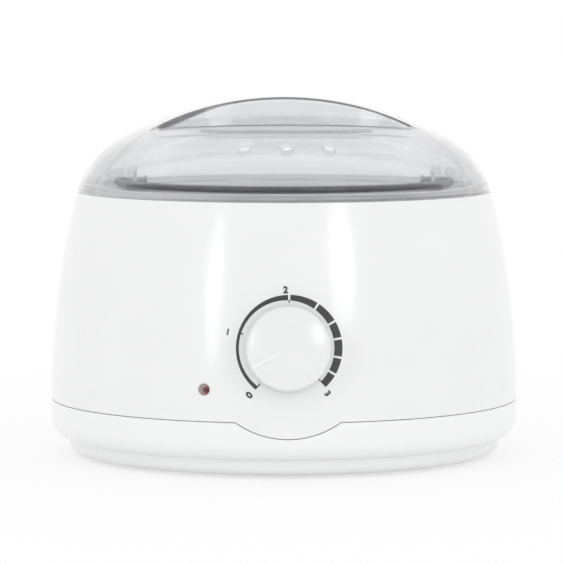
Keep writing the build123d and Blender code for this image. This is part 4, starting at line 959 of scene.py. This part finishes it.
class WARMER_OT_dress_lamp(bpy.types.Operator):
    """Gives the lamp its dull red lens, and the parts behind it their finishes"""

    bl_idname = "warmer.dress_lamp"
    bl_label = "Dress lamp"

    def execute(self, context):
        edge, ring, heart = (0.32, 0.24, 0.24), (0.26, 0.07, 0.065), (0.06, 0.008, 0.008)
        finish = Finish("lens_red", edge, 0.12, IOR=1.5, Coat_Weight=0.5, Coat_Roughness=0.03)
        x, _, z = finish.coordinates(np.mean(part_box("indicator_lens"), axis=0))
        away = span(x, z)
        red = finish.mix(away.ramp(0.5 * MM, 1.5 * MM), heart, ring)
        finish.set("Base Color", finish.mix(away.ramp(1.2 * MM, 2.0 * MM), red, edge))
        finish.bump(finish.noise(900.0, 1.0), 0.01 * MM)
        give(finish.material, "indicator_lens")
        glass = Finish("lamp_glass", (0.9, 0.75, 0.68), 0.08, IOR=1.5, Transmission_Weight=0.8)
        glass.bump(glass.noise(500.0, 1.0), 0.02 * MM)
        give(glass.material, "neon_bulb")
        give(moulded("holder_plastic", (0.75, 0.74, 0.7), 0.4, 0.02 * MM), "lamp_holder")
        return {"FINISHED"}


class WARMER_OT_dress_pot(bpy.types.Operator):
    """Gives the wax pot, its lugs and its bail their metals"""

    bl_idname = "warmer.dress_pot"
    bl_label = "Dress pot"

    def execute(self, context):
        give(turned("pot_aluminium", (0.7, 0.71, 0.72), 0.28), "wax_pot")
        give(plated("lug_aluminium", (0.76, 0.77, 0.78), 0.32), "bail_lugs")
        # the bail's dark colour is a painted dark reflection
        give(plated("bail_steel_painted_dark", (0.15, 0.15, 0.155), 0.34, mottling=0.02), "bail_handle")
        return {"FINISHED"}


class WARMER_OT_dress_well(bpy.types.Operator):
    """Gives the heating well and what holds it their finishes"""

    bl_idname = "warmer.dress_well"
    bl_label = "Dress well"

    def execute(self, context):
        give(turned("well_aluminium", (0.7, 0.71, 0.72), 0.36), "heating_well")
        give(rubbery("gasket_silicone", (0.62, 0.6, 0.56)), "well_gasket")
        give(plated("bracket_zinc", (0.62, 0.63, 0.64), 0.35), "well_brackets", "well_straps")
        give(plated("screw_zinc", (0.58, 0.59, 0.6), 0.28), "well_screws", "housing_screws")
        return {"FINISHED"}


class WARMER_OT_dress_heater(bpy.types.Operator):
    """Gives the heater band, its clamps and its insulation their finishes"""

    bl_idname = "warmer.dress_heater"
    bl_label = "Dress heater"

    def execute(self, context):
        give(plated("band_steel", (0.5, 0.47, 0.43), 0.38, mottling=0.1), "heater_band")
        give(plated("clamp_zinc", (0.6, 0.61, 0.62), 0.28), "clamp_screws", "clamp_nuts")
        give(plated("stud_brass", (0.72, 0.53, 0.24), 0.26), "heater_studs")
        felt = Finish("glass_felt", (0.78, 0.76, 0.7), 0.9, Sheen_Weight=0.3)
        fibre = felt.noise(2200.0, 6.0, 0.75)
        felt.set("Base Color", felt.mix(fibre.ramp(0.3, 0.7), (0.62, 0.6, 0.54), (0.84, 0.83, 0.78)))
        felt.bump(fibre, 0.3 * MM)
        give(felt.material, "insulation_felt")
        return {"FINISHED"}


class WARMER_OT_dress_thermostat(bpy.types.Operator):
    """Gives the thermostat, its sensing bulb and its fuse their finishes"""

    bl_idname = "warmer.dress_thermostat"
    bl_label = "Dress thermostat"

    def execute(self, context):
        give(plated("plate_zinc", (0.6, 0.61, 0.62), 0.34), "thermostat_plate", "thermostat_screws")
        give(moulded("phenolic_brown", (0.075, 0.04, 0.026), 0.45, 0.03 * MM), "thermostat_case")
        give(plated("terminal_brass", (0.74, 0.56, 0.26), 0.25), "thermostat_terminals", "thermal_fuse")
        give(plated("capillary_copper", (0.72, 0.38, 0.25), 0.3), "capillary_tube", "sensing_bulb")
        return {"FINISHED"}


class WARMER_OT_dress_wiring(bpy.types.Operator):
    """Gives the wires, the terminal block and the cord gland their finishes"""

    bl_idname = "warmer.dress_wiring"
    bl_label = "Dress wiring"

    def execute(self, context):
        give(rubbery("live_sleeve", (0.2, 0.07, 0.03), 0.5), "live_wire")
        give(rubbery("switched_sleeve", (0.55, 0.53, 0.5), 0.5), "switched_wire", "fuse_wire")
        give(rubbery("neutral_sleeve", (0.03, 0.09, 0.34), 0.5), "neutral_wire")
        give(rubbery("lamp_sleeve", (0.6, 0.6, 0.58), 0.5), "lamp_wires")
        give(moulded("block_ivory", (0.72, 0.7, 0.63), 0.45, 0.02 * MM), "terminal_block")
        give(plated("block_screw_brass", (0.7, 0.55, 0.28), 0.3), "block_grub_screws", "block_screws")
        give(moulded("gland_white", (0.72, 0.72, 0.715), 0.38, 0.02 * MM), "cord_gland")
        give(rubbery("pad_rubber", (0.028, 0.028, 0.03), 0.7), "foot_pads")
        return {"FINISHED"}


# Stage
FLOOR_TURNS = 96
FLOOR_RINGS = 24
FLOOR_REACH = (0.05, 80.0)  # radii of its first and last rings
FLOOR_COLOUR = (0.97, 0.97, 0.97)
SHADOW_REACH = (0.09, 0.45)  # distances from the warmer over which its shadow fades out
SHADOW_FADE = 0.7  # share of plain white where the shadow is deepest
WHITE = (1.0, 1.0, 1.0)
STUDIO_FRONT = (-0.75, 0.25)  # the directions' Y from the camera's side to the back
SOFTBOX_AWAY = 1.0
SOFTBOX_AIM = Vector((0.0, 0.0, 0.06))
SOFTBOXES = {  # azimuth and elevation in degrees, width, height and share of the power
    "softbox_left": (-35.0, 12.0, 0.16, 0.42, 1.0),
    "softbox_right": (28.0, 16.0, 0.24, 0.36, 1.2),
}
SENSOR = 36.0  # millimetres
SHIFT_X = -2.5 / 563  # the image is 563 pixels wide


def stood_off(distance, azimuth, elevation):
    """Offset of that length, with the azimuth to the right of the dial's axis as seen from the front."""
    flat = distance * math.cos(elevation)
    return Vector((flat * math.sin(azimuth), -flat * math.cos(azimuth), distance * math.sin(elevation)))


def looking_from(place, aim):
    """Matrix of a lamp or camera at a place that looks at an aim point."""
    return Matrix.Translation(place) @ (place - aim).to_track_quat("Z", "Y").to_matrix().to_4x4()


class WARMER_OT_set_stage(bpy.types.Operator):
    """Sets the pale floor, the soft studio light and the camera"""

    bl_idname = "warmer.set_stage"
    bl_label = "Set stage"

    def execute(self, context):
        stage = context.scene.warmer_stage
        self.floor()
        self.world(stage)
        self.softboxes(stage)
        self.camera(stage)
        context.scene.view_settings.view_transform = "Standard"
        return {"FINISHED"}

    def floor(self):
        """A round floor: rings of points about the warmer, wider apart further off."""
        radius = np.geomspace(*FLOOR_REACH, FLOOR_RINGS)[:, None, None]
        plan = (radius * all_round(FLOOR_TURNS)).reshape(-1, 2)
        verts = at_height(np.concatenate([plan, [[0.0, 0.0]]]), 0.0)
        first = np.arange(FLOOR_TURNS)
        fan = np.stack([np.full(FLOOR_TURNS, len(plan)), first, np.roll(first, -1)], axis=-1)
        grid = face_grid(FLOOR_RINGS, FLOOR_TURNS, closed=True)[:, ::-1]
        mesh = mesh_of("floor", verts, [grid, fan])
        mesh.materials.append(self.floor_white())
        linked("floor", mesh)

    def floor_white(self):
        """White that keeps the warmer's shadow near it, and is seen as plain white further off."""
        finish = Finish("floor_white", FLOOR_COLOUR, 0.8)
        x, y, _ = finish.coordinates()
        glow = finish.node("Emission", {"Color": WHITE, "Strength": 1.0})
        share = finish.seen() * span(x, y).ramp(*SHADOW_REACH, SHADOW_FADE, 1.0)
        finish.send("Material Output", share, Socket(finish, finish.shader.outputs[0]), glow)
        return finish.material

    def world(self, stage):
        """A white studio: white to the eye, with its own strength of light from the front, and darker there
        in a gloss.
        """
        world = bpy.data.worlds.new("studio")
        bpy.context.scene.world = world
        world.use_nodes = True
        studio = Nodes(world.node_tree)
        direction = studio.node("TexCoord", output="Generated")
        front = studio.node("SeparateXYZ", {0: direction}, "Y").ramp(*STUDIO_FRONT, 1.0, 0.0)
        glossy = studio.node("LightPath", output="Is Glossy Ray")
        strengths = (
            stage.surround + (stage.front_light - stage.surround) * front,
            1.0 + (stage.front_gloss - 1.0) * glossy * front,
        )
        skies = (studio.node("Background", {"Color": WHITE, "Strength": s}) for s in strengths)
        studio.send("World Output", studio.seen(), *skies)

    def softboxes(self, stage):
        """Two tall soft lights, left and right of the camera, each aimed at the body."""
        for name, (azimuth, elevation, width, height, power) in SOFTBOXES.items():
            light = bpy.data.lights.new(name, "AREA")
            light.shape = "ELLIPSE"
            light.size, light.size_y = width, height
            light.energy = stage.softbox * power
            offset = stood_off(SOFTBOX_AWAY, math.radians(azimuth), math.radians(elevation))
            linked(name, light).matrix_world = looking_from(SOFTBOX_AIM + offset, SOFTBOX_AIM)

    def camera(self, stage):
        data = bpy.data.cameras.new("camera")
        data.sensor_width = SENSOR
        data.lens = stage.lens
        data.shift_x = SHIFT_X
        aim = Vector((0.0, 0.0, stage.aim_height))
        camera = linked("camera", data)
        camera.matrix_world = looking_from(aim + stood_off(stage.distance, -stage.azimuth, stage.pitch), aim)
        bpy.context.scene.camera = camera


class WARMER_PT_panel(bpy.types.Panel):
    """Lists the warmer's sizes, colours and pieces"""

    bl_idname = "WARMER_PT_panel"
    bl_label = "Wax warmer"
    bl_space_type = "VIEW_3D"
    bl_region_type = "UI"
    bl_category = "Warmer"

    def draw(self, context):
        for name, group in GROUPS.items():
            box = self.layout.box()
            for setting in group.__annotations__:
                box.prop(getattr(context.scene, name), setting)
        for operator in OPERATORS:
            self.layout.operator(operator.bl_idname)


GROUPS = {
    "warmer_body": WarmerBody,
    "warmer_dial": WarmerDial,
    "warmer_lid": WarmerLid,
    "warmer_stage": WarmerStage,
}
OPERATORS = [
    WARMER_OT_dress_housings,
    WARMER_OT_print_dial,
    WARMER_OT_dress_knob,
    WARMER_OT_dress_lamp,
    WARMER_OT_dress_lid,
    WARMER_OT_dress_pot,
    WARMER_OT_dress_well,
    WARMER_OT_dress_heater,
    WARMER_OT_dress_thermostat,
    WARMER_OT_dress_wiring,
    WARMER_OT_set_stage,
]
CLASSES = [*GROUPS.values(), *OPERATORS, WARMER_PT_panel]


def register():
    for made in CLASSES:
        bpy.utils.register_class(made)
    for name, group in GROUPS.items():
        setattr(bpy.types.Scene, name, PointerProperty(type=group))


def unregister():
    for name in GROUPS:
        delattr(bpy.types.Scene, name)
    for made in reversed(CLASSES):
        bpy.utils.unregister_class(made)


def main():
    register()
    for operator in OPERATORS:
        getattr(bpy.ops.warmer, operator.bl_idname.split(".")[1])()


if __name__ == "__main__":
    main()
